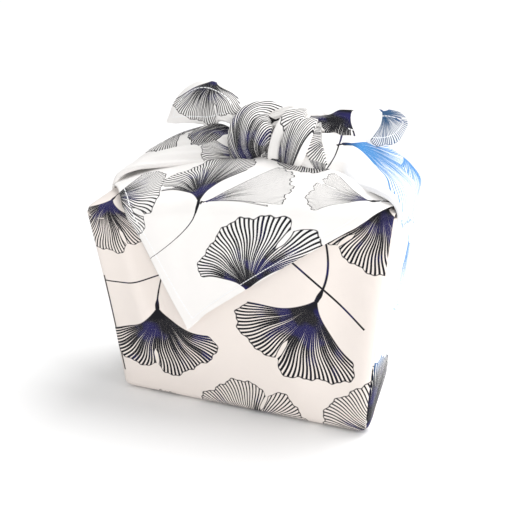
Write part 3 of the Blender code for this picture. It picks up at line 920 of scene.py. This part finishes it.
@dataclass
class GatheredBand:
    """A closed band of gathered cloth that follows a list of sections."""

    name: str
    layer: Layer
    across_steps: int = 44
    along_steps: int = 12
    pleats: float = 2.5
    pleat_depth: float = 0.0026
    unfolding: float = 1.5
    tables: dict[str, Array] = field(default_factory=dict)

    def sections(self) -> list[Section]:
        """The band's sections, from its start to its end."""
        return []

    def prepare(self) -> None:
        """Turns the sections into tables that a spline runs through."""
        sections = self.sections()
        self.tables = {
            "place": np.array([s.place for s in sections]),
            "facing": unit(np.array([s.facing for s in sections])),
            "half_width": np.array([s.half_width for s in sections]),
            "half_thick": np.array([s.half_thick for s in sections]),
            "curl": np.array([s.curl for s in sections]),
        }

    def last(self) -> int:
        """The number of the last section."""
        return len(self.tables["curl"]) - 1

    def at(self, along: Array) -> Array:
        """Fractional section numbers for shares along the band."""
        return along * self.last()

    def distance(self, at: Array) -> Array:
        """Metres along the band from its start to a fractional section number."""
        fine = np.linspace(0.0, self.last(), 600)
        line = spline(self.tables["place"], fine)
        steps = np.linalg.norm(np.diff(line, axis=0), axis=1)
        lengths = np.concatenate([[0.0], np.cumsum(steps)])
        before = np.minimum(at, 0.0) * lengths[-1] / self.last()
        return np.interp(at, fine, lengths) + before

    def pleat(self, v: Array, at: Array) -> Array:
        """Pleats across a gathered section: rounded ridges with sharp valleys between them."""
        drift = 0.55 * np.sin(0.62 * at + len(self.name)) + 0.25 * np.sin(1.7 * at)
        main = 1.0 - 2.0 * np.abs(np.sin(np.pi * (self.pleats * v * 0.5 + drift * 0.35))) ** 0.7
        fine = 0.35 * np.sin(np.pi * (self.pleats * 2.3 * v + 0.8 * drift) + at * 0.5)
        return -(main + fine) * (1.0 - v**4)

    def gathered(self, half_thick: Array) -> Array:
        """How far a section is gathered, from 0 for a flat layer."""
        return smooth((half_thick - 0.0013) / 0.0032)

    def settle(self, middle: Array, v: Array, at: Array) -> Array:
        """Lets a band lie on what carries it."""
        return middle

    def place(self, across: Array, along: Array) -> Array:
        """Points of the band: across runs round its closed section, along to its end."""
        at = self.at(along)
        here = spline(self.tables["place"], at)
        ahead = spline(self.tables["place"], np.minimum(at + 0.05, self.last()))
        behind = spline(self.tables["place"], np.maximum(at - 0.05, 0.0))
        forward = unit(ahead - behind)
        facing = spline(self.tables["facing"], at)
        sideways = unit(np.cross(facing, forward))
        out = unit(np.cross(forward, sideways))
        half_width = spline(self.tables["half_width"], at)
        half_thick = spline(self.tables["half_thick"], at)
        curl = spline(self.tables["curl"], at)
        v, outer = self.round_section(across)
        gathered = self.gathered(half_thick)
        bend = curl * (0.5 - v * v) + self.pleat_depth * gathered * self.pleat(v, at) * 0.5
        middle = here + sideways * (half_width * v)[:, None] + out * bend[:, None]
        middle = self.settle(middle, v, at)
        bulge = np.sqrt(np.maximum(1.0 - v * v, 0.0))
        thick = half_thick * mix(1.0, mix(0.25, 1.0, bulge), gathered)
        thick = thick * mix(0.45, 1.0, smooth((half_thick - 0.0008) / 0.0016))
        return middle + out * (thick * outer)[:, None]

    def round_section(self, across: Array) -> tuple[Array, Array]:
        """Splits the way round a section into a place across it and a side, front or back."""
        turned = np.mod(across, 1.0) * 2.0 * np.pi
        v = -np.cos(turned)
        outer = np.clip(np.sin(turned) / 0.18, -1.0, 1.0)
        return v, outer

    def flat(self, across: Array, along: Array) -> Array:
        """Places on the flat cloth: across the band, and metres along it."""
        at = self.at(along)
        v, _ = self.round_section(across)
        half_width = spline(self.tables["half_width"], at)
        half_thick = spline(self.tables["half_thick"], at)
        opened = mix(1.0, self.unfolding, self.gathered(half_thick))
        return np.stack([v * half_width * opened, self.distance(at)], axis=1)

    def edge(self, across: Array, along: Array) -> Array:
        """How far each place is from the cloth's hemmed edge."""
        return far_edge(across, along)

    def tone(self, across: Array, along: Array) -> Array:
        """The tone along the band."""
        return np.full(len(across), Tone.DOUBLE.value)

    def build(self) -> bpy.types.Object:
        """Builds the band, with both its ends closed."""
        self.prepare()
        own = tuple(
            replace(leaf, along=float(self.distance(np.array([leaf.along]))[0]))
            for leaf in LEAVES
            if leaf.layer == self.layer
        )
        maker = SheetMaker(self.name, own)
        size = (2 * self.across_steps, self.along_steps * self.last())
        maker.add(size, self.place, self.flat, self.edge, self.layer, self.tone)
        piece = maker.joined(0.00001)
        self.close_ends(piece.data)
        return piece

    def close_ends(self, mesh: bpy.types.Mesh) -> None:
        """Closes the band's two open ends."""
        bm = bmesh.new()
        bm.from_mesh(mesh)
        open_edges = [edge for edge in bm.edges if edge.is_boundary]
        bmesh.ops.holes_fill(bm, edges=open_edges, sides=0)
        bmesh.ops.recalc_face_normals(bm, faces=bm.faces)
        bm.to_mesh(mesh)
        bm.free()


@dataclass
class KnotFold(GatheredBand):
    """A fold of the knot that lies across its front and turns in at its top and its foot."""

    knot: SquareKnot = SquareKnot()
    turns: tuple[Turn, ...] = ()
    across_steps: int = 24
    along_steps: int = 10
    pleats: float = 1.6
    pleat_depth: float = 0.0016
    unfolding: float = 1.2

    def sections(self) -> list[Section]:
        """The fold's sections from its foot to its top."""
        return self.knot.fold_sections(self.turns)


@dataclass
class TiedCorner(GatheredBand):
    """A side corner of the cloth: up the side, over the top edge, through the knot, to its tip."""

    side: float = 1.0
    load: LoadShape = field(default_factory=LoadShape)
    knot: SquareKnot = SquareKnot()
    rise: tuple[Section, ...] = ()
    tail: tuple[Section, ...] = ()
    rise_tone: Tone = Tone.DOUBLE
    tail_tone: Tone = Tone.DOUBLE
    entry_width: float = 1.0
    wall_sections: int = 4
    embed: float = -0.0001
    wall_fold_depth: float = 0.0013

    def sections(self) -> list[Section]:
        """All the sections from the base to the tip."""
        return [*self.rise, *self.knot.sections(self.side, self.entry_width), *self.tail]

    def wall_x(self, y: Array, z: Array) -> Array:
        """X of the side wall at y and z."""
        face = 1 if self.side > 0 else 3
        base, top = self.load.corner_tables()
        after = (face + 1) % 4
        tall = mix(top[face, 2], top[after, 2], 0.5)
        lean = np.clip(z / tall, 0.0, 1.0) ** self.load.flare_power
        start = mix(base[face, 1], top[face, 1], lean)
        end = mix(base[after, 1], top[after, 1], lean)
        along = np.clip((y - start) / (end - start), 0.0, 0.999)
        share = np.clip(z / tall, 0.0, 1.0)
        path = share * self.load.wall_height(face + along)
        return self.load.rounded(face + along, path)[:, 0]

    def settle(self, middle: Array, v: Array, at: Array) -> Array:
        """Lays the first sections on the side wall, with folds that deepen towards the top."""
        on_wall = 1.0 - smooth(at - self.wall_sections + 1.0)
        sunk = mix(-0.0022, self.embed, smooth(at / 0.3))
        folds = 0.5 - np.abs(np.sin(np.pi * (2.6 * v + 0.25 * np.sin(at)) * 0.5)) ** 0.6
        deep = self.wall_fold_depth * smooth((at - 0.6) / 3.0) * (1.0 - v**6)
        level = self.side * (sunk - deep * folds)
        wall = self.wall_x(middle[:, 1], middle[:, 2]) + level
        settled = middle.copy()
        settled[:, 0] = mix(middle[:, 0], wall, on_wall)
        return settled

    def edge(self, across: Array, along: Array) -> Array:
        """How far the corner's free end is from the cloth's hemmed edge."""
        at = self.at(along)
        v, _ = self.round_section(across)
        half_width = spline(self.tables["half_width"], at)
        free = smooth((at - (self.last() - len(self.tail))) / 1.5)
        return mix(1.0, (1.0 - np.abs(v)) * half_width + 0.0005, free)

    def tone(self, across: Array, along: Array) -> Array:
        """The tone along the corner: its own on the rise and the tail, and plain between them."""
        at = self.at(along)
        past = smooth((at - len(self.rise) + 2.0) / 1.5)
        below = 1.0 - smooth((at - 0.8) / 0.6)
        tail = smooth((at - self.last() + 4.5) / 1.5)
        along_rise = mix(self.rise_tone.value, Tone.DOUBLE.value, np.maximum(past, below))
        return mix(along_rise, self.tail_tone.value, tail)


LEFT_RISE: tuple[Section, ...] = sections_from(
    (-101.5, 0, 4, -1, 0, 0, 42.5, 1),
    (-104.5, 1, 50, -1, 0, 0, 39.5, 1),
    (-109, 4, 103, -1, 0, 0, 33, 1),
    (-115, 8, 146, -1, 0, 0.1, 27, 1.4),
    (-115.5, 10, 165.5, -0.7, 0, 0.7, 24.5, 2.2),
    (-101, 11, 178, -0.35, -0.16, 0.92, 22.5, 3.2),
    (-80, 10, 185.8, -0.22, -0.4, 0.89, 20.5, 4.2),
    (-58, 9, 191.2, -0.15, -0.6, 0.79, 19, 5),
    (-38, 6, 195.2, -0.1, -0.75, 0.65, 16.8, 5.8),
)
RIGHT_RISE: tuple[Section, ...] = sections_from(
    (101.5, 0, 4, 1, 0, 0, 42.5, 1),
    (104.5, 0, 50, 1, 0, 0, 41.5, 1),
    (108, 1, 108, 1, 0, 0, 40, 1),
    (111, 1, 150, 1, 0, 0.1, 38.8, 1.4),
    (111.5, 1, 171.5, 0.7, 0, 0.7, 38.5, 2.2),
    (101, 2, 181.5, 0.38, -0.1, 0.9, 34.5, 3.2),
    (88, 3, 187.5, 0.3, -0.3, 0.9, 28.5, 4.2),
    (75, 3, 192.5, 0.2, -0.55, 0.82, 22.5, 5),
    (65, 2, 195.5, 0.1, -0.75, 0.65, 18.5, 5.6),
)
LEFT_TAIL: tuple[Section, ...] = sections_from(
    (-25, 13, 217, 0, -0.9, 0.44, 7.5, 3),
    (-35, 16, 222.5, 0, -0.94, 0.34, 13, 1.8, 4),
    (-47, 19, 223.5, 0, -0.96, 0.28, 16.5, 1, 6),
    (-56.5, 21, 223.5, 0, -0.97, 0.24, 17, 1, 6),
    (-66, 22, 220.5, 0, -0.97, 0.24, 15, 1, 5),
    (-74.5, 22, 215.5, 0, -0.97, 0.24, 10.8, 0.9, 3),
    (-81.5, 22, 210, 0, -0.97, 0.24, 5.5, 0.9, 1),
    (-87, 22, 206.2, 0, -0.97, 0.24, 0.8, 0.8),
)
RIGHT_TAIL: tuple[Section, ...] = sections_from(
    (59, 12, 216.5, 0, -0.9, 0.44, 9.8, 3.4),
    (68, 14, 215, 0, -0.93, 0.36, 10.2, 2.4, 2),
    (76, 16, 213.5, 0, -0.94, 0.34, 12.2, 1.4, 4),
    (84, 18, 213.8, 0, -0.95, 0.3, 13.5, 1, 5),
    (92, 19, 215.2, 0, -0.95, 0.3, 12.8, 1, 5),
    (98.5, 20, 217.2, 0, -0.95, 0.3, 9, 1, 3),
    (104, 20, 218.5, 0, -0.95, 0.3, 2, 0.8),
)


@dataclass(frozen=True)
class Wire:
    """A value on a node tree. A sum that is written with it adds math nodes."""

    sketch: "NodeSketch"
    socket: bpy.types.NodeSocket

    def __add__(self, other: "Value") -> "Wire":
        """A sum."""
        return self.sketch.math("ADD", self, other)

    def __sub__(self, other: "Value") -> "Wire":
        """A difference."""
        return self.sketch.math("SUBTRACT", self, other)

    def __rsub__(self, other: float) -> "Wire":
        """What is left of a number."""
        return self.sketch.math("SUBTRACT", other, self)

    def __mul__(self, other: "Value") -> "Wire":
        """A product."""
        return self.sketch.math("MULTIPLY", self, other)

    def __truediv__(self, other: "Value") -> "Wire":
        """A quotient."""
        return self.sketch.math("DIVIDE", self, other)

    def __pow__(self, other: "Value") -> "Wire":
        """A power."""
        return self.sketch.math("POWER", self, other)

    def __abs__(self) -> "Wire":
        """The size without its sign."""
        return self.sketch.math("ABSOLUTE", self)


Value = Wire | float | tuple[float, ...]


@dataclass(frozen=True)
class NodeSketch:
    """Draws sums on a node tree, so that a pattern reads as a formula."""

    tree: bpy.types.NodeTree

    def node(self, kind: str) -> bpy.types.Node:
        """Adds one node."""
        return self.tree.nodes.new(kind)

    def wire(self, socket: bpy.types.NodeSocket) -> Wire:
        """A node's output as a value."""
        return Wire(self, socket)

    def feed(self, socket: bpy.types.NodeSocket, value: Value) -> None:
        """Links an input to a value, or sets it to a number."""
        if isinstance(value, Wire):
            self.tree.links.new(value.socket, socket)
        else:
            socket.default_value = value

    def fed(self, kind: str, output: str | int, **values: Value) -> Wire:
        """One node with some of its inputs fed.

        Args:
            kind: the node's type.
            output: which of its outputs is wanted.
            **values: a value for each input, whose name has its spaces as underscores.

        Returns:
            That output.
        """
        node = self.node(kind)
        for name, value in values.items():
            self.feed(node.inputs[name.replace("_", " ")], value)
        return self.wire(node.outputs[output])

    def math(self, operation: str, *values: Value) -> Wire:
        """One math node with a value for each of its inputs."""
        node = self.node("ShaderNodeMath")
        node.operation = operation
        for socket, value in zip(node.inputs, values):
            self.feed(socket, value)
        return self.wire(node.outputs[0])

    def sine(self, value: Wire) -> Wire:
        """The sine of a value."""
        return self.math("SINE", value)

    def larger(self, a: Wire, b: Value) -> Wire:
        """The larger of two values."""
        return self.math("MAXIMUM", a, b)

    def ramp(self, value: Wire, low: float, high: float) -> Wire:
        """A smooth step from 0 at low to 1 at high, or down if high is the smaller."""
        node = self.node("ShaderNodeMapRange")
        node.interpolation_type = "SMOOTHSTEP"
        self.feed(node.inputs["Value"], value)
        node.inputs["From Min"].default_value = min(low, high)
        node.inputs["From Max"].default_value = max(low, high)
        node.inputs["To Min"].default_value = float(high < low)
        node.inputs["To Max"].default_value = float(high >= low)
        return self.wire(node.outputs["Result"])

    def noise(self, vector: Wire, scale: float, detail: float = 2.0) -> Wire:
        """A noise value from 0 to 1."""
        return self.fed("ShaderNodeTexNoise", "Fac", Vector=vector, Scale=scale, Detail=detail)

    def vector(self, x: Value, y: Value, z: Value) -> Wire:
        """A vector from its parts."""
        return self.fed("ShaderNodeCombineXYZ", 0, X=x, Y=y, Z=z)

    def parts(self, vector: Wire) -> tuple[Wire, ...]:
        """A vector's three parts."""
        node = self.node("ShaderNodeSeparateXYZ")
        self.feed(node.inputs[0], vector)
        return tuple(self.wire(output) for output in node.outputs)

    def blend(self, share: Wire, a: Value, b: Value) -> Wire:
        """A colour between a and b."""
        node = self.node("ShaderNodeMix")
        node.data_type = "RGBA"
        for name, value in (("Factor", share), ("A", a), ("B", b)):
            self.feed(node.inputs[name], value)
        return self.wire(node.outputs["Result"])

    def uv(self, name: str) -> Wire:
        """One of the piece's own maps."""
        node = self.node("ShaderNodeUVMap")
        node.uv_map = name
        return self.wire(node.outputs[0])


@dataclass(frozen=True)
class GinkgoPrint:
    """The printed leaf: a fan of fine veins with a notch, a scalloped rim and a stem."""

    spread: float = 1.22
    flare: float = 0.40
    veins: float = 21.0
    rim: float = 0.97
    outline: float = 0.0125
    slit_start: float = 0.56
    gap_width: float = 0.55
    gap_run: float = 0.42

    def group(self) -> bpy.types.NodeTree:
        """Makes the node group, which draws a leaf at a place in its own axes."""
        tree = bpy.data.node_groups.new("ginkgo_leaf", "ShaderNodeTree")
        given, drawn = ("Place", "Notch", "Weight"), ("Ink", "Dense", "Fan")
        for name in given:
            kind = "NodeSocketVector" if name == "Place" else "NodeSocketFloat"
            tree.interface.new_socket(name, in_out="INPUT", socket_type=kind)
        for name in drawn:
            tree.interface.new_socket(name, in_out="OUTPUT", socket_type="NodeSocketFloat")
        s = NodeSketch(tree)
        inputs = s.node("NodeGroupInput").outputs
        outputs = s.node("NodeGroupOutput").inputs
        for name, value in zip(drawn, self.draw(s, *(s.wire(inputs[name]) for name in given))):
            s.feed(outputs[name], value)
        return tree

    def draw(self, s: NodeSketch, place: Wire, notch: Wire, weight: Wire) -> tuple[Wire, ...]:
        """Draws the leaf.

        Args:
            s: the sketch to draw on.
            place: the place in the leaf's axes, in radii.
            notch: where the notch is across the fan.
            weight: how heavily the leaf is printed.

        Returns:
            The ink, how dense the veins are there, and whether the fan covers the place.
        """
        x, y, _ = s.parts(place)
        reach = s.math("SQRT", x * x + y * y)
        opened = s.larger(reach, 0.002) ** self.flare * self.spread
        sway = s.sine(reach * 13.0 + notch * 31.0)
        u = (s.math("ARCTAN2", x, y) + sway * 0.014) / opened
        arc = opened * reach
        rim_gap = self.rim_line(s, u, notch) - reach
        side_gap = (1.0 - abs(u)) * arc
        slit_gap = self.slit_line(s, u, arc, reach, notch)
        inside = s.ramp(rim_gap, -0.006, 0.006) * s.ramp(side_gap, -0.006, 0.006)
        slit = s.ramp(slit_gap, 0.004, -0.004)
        body, dense = self.vein_lines(s, u, reach, notch, weight)
        for gap, outer, inner in ((rim_gap, 1.5, 0.5), (side_gap, 1.5, 0.5), (slit_gap, 1.3, 0.4)):
            line = s.ramp(abs(gap), self.outline * outer, self.outline * inner)
            body = s.larger(body, line)
        has_fan = s.math("LESS_THAN", notch, 2.0)
        covered = inside * has_fan
        fan = covered * (1.0 - slit) * body
        return s.larger(fan, self.stem_line(s, x, y, has_fan)), dense, covered

    def rim_line(self, s: NodeSketch, u: Wire, notch: Wire) -> Wire:
        """The scalloped rim: how far it is from the leaf's base at each place across the fan."""
        shift = notch * 20.0
        rim = s.sine(u * 9.5 + shift) * 0.026 + self.rim
        rim = rim + s.sine(u * 27.0 + shift * 2.3) * 0.014
        rim = rim + s.sine(u * 63.0) * 0.006 - u * u * 0.07
        ends = s.larger(abs(u) - 0.78, 0.0)
        gap = (u - notch) / 0.075
        dip = s.math("EXPONENT", gap * gap * -1.0)
        return rim - ends * ends * 2.6 - dip * 0.13

    def slit_line(self, s: NodeSketch, u: Wire, arc: Wire, reach: Wire, notch: Wire) -> Wire:
        """How far a place is from the notch's edge, and negative inside it."""
        opening = s.ramp(reach, self.slit_start, self.slit_start + 0.12)
        closing = s.ramp(reach, self.slit_start + 0.36, self.slit_start + 0.20)
        half = opening * (closing * 0.022 + 0.010) - 0.006
        return abs(u - notch) * arc - half

    def vein_lines(
        self, s: NodeSketch, u: Wire, reach: Wire, notch: Wire, weight: Wire
    ) -> tuple[Wire, Wire]:
        """The veins, which run together towards the base and are printed darker in places."""
        turn = u * self.veins + 0.5
        gap_at = s.vector(s.math("FLOOR", turn), notch, 0.5)
        chance = s.fed("ShaderNodeTexWhiteNoise", "Value", Vector=gap_at)
        patch = s.noise(s.vector(u * 2.4, reach * 0.8, notch), 2.0, 1.0) - 0.5
        heavier = weight - 0.5
        past_end = reach - (chance * 0.42 + 0.13 + patch * 0.5 + heavier * 0.34)
        dense = s.ramp(past_end, 0.42, 0.10)
        widest = heavier * -0.30 + self.gap_width
        width = s.ramp(past_end, -0.02, self.gap_run) * widest
        tooth = abs(s.math("FRACT", turn) * 2.0 - 1.0)
        vein = s.ramp(tooth - width, -0.07, 0.07)
        core = s.ramp(reach - heavier * 0.16, 0.20, 0.12)
        return s.larger(vein, core), dense

    def stem_line(self, s: NodeSketch, x: Wire, y: Wire, has_fan: Wire) -> Wire:
        """The stem, which thickens where it meets the fan."""
        half = s.ramp(y, -0.20, 0.0) * has_fan * 0.014 + 0.0108
        span = s.math("LESS_THAN", y, 0.05) * s.math("GREATER_THAN", y, -1.0)
        return s.ramp(half - abs(x), -0.004, 0.004) * span


@dataclass(frozen=True)
class PrintedCotton:
    """Plain-woven white cotton with the leaf print, a stitched hem, a soft crumple, and a painted
    highlight that whitens the cloth and pales the print on the tones that call for it.
    """

    over_load: tuple[float, ...] = (0.835, 0.765, 0.715, 1.0)
    doubled: tuple[float, ...] = (0.88, 0.86, 0.84, 1.0)
    # White for the hem's thread, and the whiter cloth of the painted highlight.
    thread_white_and_highlit: tuple[float, ...] = (0.90, 0.905, 0.92, 1.0)
    shaded: tuple[float, ...] = (0.62, 0.57, 0.60, 1.0)
    black: tuple[float, ...] = (0.004, 0.004, 0.008, 1.0)
    navy: tuple[float, ...] = (0.011, 0.009, 0.078, 1.0)
    # Painted highlight: the paler blue that the print fades to where strong light would burn it
    # out.
    highlit_ink: tuple[float, ...] = (0.045, 0.235, 0.560, 1.0)
    thread_pitch: float = 0.0005
    hem: float = 0.0064
    roughness: float = 0.86

    def material(self) -> bpy.types.Material:
        """Makes the material."""
        material = bpy.data.materials.new("printed_cotton")
        material.use_nodes = True
        s = NodeSketch(material.node_tree)
        inputs = material.node_tree.nodes["Principled BSDF"].inputs
        edge, tone, _ = s.parts(s.uv(UV_EDGE))
        cloth = s.uv(UV_CLOTH)
        ink, dense = self.printed(s)
        base = s.blend(s.ramp(tone, 0.0, 0.5), self.over_load, self.doubled)
        # Painted highlight: the brightest tones whiten the cloth.
        highlight_share = s.ramp(tone, 0.5, 1.0)
        base = s.blend(highlight_share, base, self.thread_white_and_highlit)
        mottle = s.ramp(s.noise(cloth, 38.0, 3.0), 0.35, 0.70)
        base = s.blend(mottle * 0.05, base, self.shaded)
        patch = s.ramp(s.noise(cloth, 60.0, 1.0), 0.47, 0.64)
        deep = s.blend(patch * dense, self.black, self.navy)
        # Painted highlight: on the brightest tones the ink pales to light blue.
        deep = s.blend(highlight_share * 0.9, deep, self.highlit_ink)
        stitch = self.stitches(s, edge, cloth)
        s.feed(inputs["Base Color"], s.blend(stitch, s.blend(ink, base, deep), self.thread_white_and_highlit))
        inputs["Roughness"].default_value = self.roughness
        inputs["Metallic"].default_value = 0.0
        inputs["Specular IOR Level"].default_value = 0.25
        inputs["Sheen Weight"].default_value = 0.12
        inputs["Sheen Roughness"].default_value = 0.5
        s.feed(inputs["Normal"], self.bumps(s, cloth, edge, stitch))
        return material

    def printed(self, s: NodeSketch) -> tuple[Wire, Wire]:
        """The ink of the nearest two leaves, where the nearer one's fan hides the other."""
        leaf = GinkgoPrint().group()
        notches, weights = s.parts(s.uv(UV_STYLE)), s.parts(s.uv(UV_INK))
        near, behind = (s.node("ShaderNodeGroup") for _ in range(2))
        for number, (node, name) in enumerate(((near, UV_NEAR), (behind, UV_NEXT))):
            node.node_tree = leaf
            s.feed(node.inputs["Place"], s.uv(name))
            s.feed(node.inputs["Notch"], notches[number])
            s.feed(node.inputs["Weight"], weights[number])
        left_free = 1.0 - s.wire(near.outputs["Fan"])
        showing = s.wire(behind.outputs["Ink"]) * left_free
        return s.larger(s.wire(near.outputs["Ink"]), showing), s.wire(near.outputs["Dense"])

    def stitches(self, s: NodeSketch, edge: Wire, cloth: Wire) -> Wire:
        """The hem's running stitch, in white thread."""
        x, y, _ = s.parts(cloth)
        row = s.ramp(abs(edge - self.hem), 0.00042, 0.00022)
        along = (x + y * 1.7) * 260.0
        return row * s.ramp(s.math("PINGPONG", along, 0.5), 0.08, 0.14)

    def bumps(self, s: NodeSketch, cloth: Wire, edge: Wire, stitch: Wire) -> Wire:
        """The weave, the hem's step and a soft crumple."""
        x, y, _ = s.parts(cloth)
        turns = 2.0 * math.pi / self.thread_pitch
        weave = s.sine(x * turns) * s.sine(y * turns)
        crumple = s.noise(cloth, 46.0, 3.0)
        fold = s.ramp(edge, self.hem + 0.0004, self.hem - 0.0006)
        height = weave * 0.000018 + crumple * 0.0011 + fold * 0.00005 - stitch * 0.00006
        return s.fed("ShaderNodeBump", "Normal", Strength=0.55, Distance=1.0, Height=height)


@dataclass(frozen=True)
class Studio:
    """The pale floor, the soft light and the camera at the photograph's angle."""

    focal_px: float = 760.4
    frame_px: float = 507.0
    yaw: float = math.radians(21.02)
    pitch: float = math.radians(19.86)
    camera_at: tuple[float, float, float] = (0.1946, -0.5188, 0.3135)
    floor_size: float = 80.0
    floor_gap: float = 0.0003
    sun_from: tuple[float, float, float] = (0.30, 0.34, 0.89)
    sun_power: float = 1.95
    sun_angle: float = math.radians(34.0)
    surround: float = 0.66

    def floor(self) -> None:
        """Lays the floor, a hair's breadth under the base so that they aren't one plane."""
        bm = bmesh.new()
        bmesh.ops.create_grid(bm, x_segments=2, y_segments=2, size=self.floor_size / 2)
        mesh = bpy.data.meshes.new("floor")
        bm.to_mesh(mesh)
        bm.free()
        mesh.transform(Matrix.Translation((0.0, 0.0, -self.floor_gap)))
        floor = bpy.data.objects.new("floor", mesh)
        bpy.context.scene.collection.objects.link(floor)
        material = bpy.data.materials.new("pale_floor")
        material.use_nodes = True
        s = NodeSketch(material.node_tree)
        inputs = material.node_tree.nodes["Principled BSDF"].inputs
        cloud = s.noise(s.wire(s.node("ShaderNodeTexCoord").outputs["Object"]), 3.0)
        pale, paler = (0.86, 0.86, 0.86, 1.0), (0.88, 0.88, 0.88, 1.0)
        s.feed(inputs["Base Color"], s.blend(cloud, pale, paler))
        inputs["Roughness"].default_value = 0.9
        floor.data.materials.append(material)

    def lamp(self, name: str, at: Row, size: float, power: float) -> None:
        """Hangs one soft square lamp that looks at the wrap."""
        data = bpy.data.lights.new(name, "AREA")
        data.shape = "SQUARE"
        data.size = size
        data.energy = power
        lamp = bpy.data.objects.new(name, data)
        lamp.location = at
        aim = Vector((0.0, 0.0, 0.1)) - Vector(at)
        lamp.rotation_euler = aim.to_track_quat("-Z", "Y").to_euler()
        bpy.context.scene.collection.objects.link(lamp)

    def light(self) -> None:
        """Sets up the soft high light, the fill from the front and the white surround."""
        data = bpy.data.lights.new("key", "SUN")
        data.energy = self.sun_power
        data.angle = self.sun_angle
        key = bpy.data.objects.new("key", data)
        aim = -Vector(self.sun_from)
        key.rotation_euler = aim.to_track_quat("-Z", "Y").to_euler()
        bpy.context.scene.collection.objects.link(key)
        self.lamp("fill", (1.4, -1.9, 0.7), 0.7, 13.0)
        self.lamp("side", (1.7, -0.1, 0.7), 1.0, 14.0)
        world = bpy.data.worlds.new("surround")
        world.use_nodes = True
        background = world.node_tree.nodes["Background"]
        background.inputs["Color"].default_value = (1.0, 1.0, 1.0, 1.0)
        background.inputs["Strength"].default_value = self.surround
        bpy.context.scene.world = world

    def camera(self) -> None:
        """Places the camera."""
        data = bpy.data.cameras.new("camera")
        data.sensor_width = 36.0
        data.lens = 36.0 * self.focal_px / self.frame_px
        camera = bpy.data.objects.new("camera", data)
        flat, up = math.cos(self.pitch), math.sin(self.pitch)
        back = Vector((math.sin(self.yaw) * flat, -math.cos(self.yaw) * flat, up))
        camera.location = self.camera_at
        camera.rotation_euler = (-back).to_track_quat("-Z", "Y").to_euler()
        bpy.context.scene.collection.objects.link(camera)
        bpy.context.scene.camera = camera

    def build(self) -> None:
        """Sets up the whole studio."""
        self.floor()
        self.light()
        self.camera()
        bpy.context.scene.view_settings.view_transform = "Standard"


def dress(piece: bpy.types.Object, material: bpy.types.Material) -> None:
    """Gives a piece its finish and ties it to the frame."""
    piece.data.materials.append(material)
    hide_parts(CLOTH_NODE)
    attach(piece, "root")


def main() -> None:
    """Builds the cloth, piece by piece, and the studio round it."""
    logging.basicConfig(level=logging.INFO, format="%(message)s")
    load = LoadShape()
    knot = SquareKnot()
    material = PrintedCotton().material()
    body = BodyCloth(load).build()
    left = TiedCorner(
        "left_corner", Layer.LEFT_CORNER, side=-1.0, load=load, rise=LEFT_RISE, tail=LEFT_TAIL
    ).build()
    right = TiedCorner(
        "right_corner",
        Layer.RIGHT_CORNER,
        load=load,
        rise=RIGHT_RISE,
        tail=RIGHT_TAIL,
        # The right corner's rise and tail get painted highlight: whiter cloth and paler print.
        rise_tone=Tone.HIGHLIT,
        tail_tone=Tone.PART_HIGHLIT,
        entry_width=1.5,
        pleat_depth=0.0014,
    ).build()
    folds = (
        KnotFold("low_fold", Layer.LOW_FOLD, turns=knot.low_fold).build(),
        KnotFold("over_fold", Layer.OVER_FOLD, turns=knot.over_fold).build(),
        KnotFold("end_fold", Layer.END_FOLD, turns=knot.end_fold).build(),
    )
    for piece in (body, left, right, *folds):
        dress(piece, material)
        LOG.info("%s: %d faces", piece.name, len(piece.data.polygons))
    Studio().build()
    bpy.context.view_layer.update()


if __name__ == "__main__":
    main()
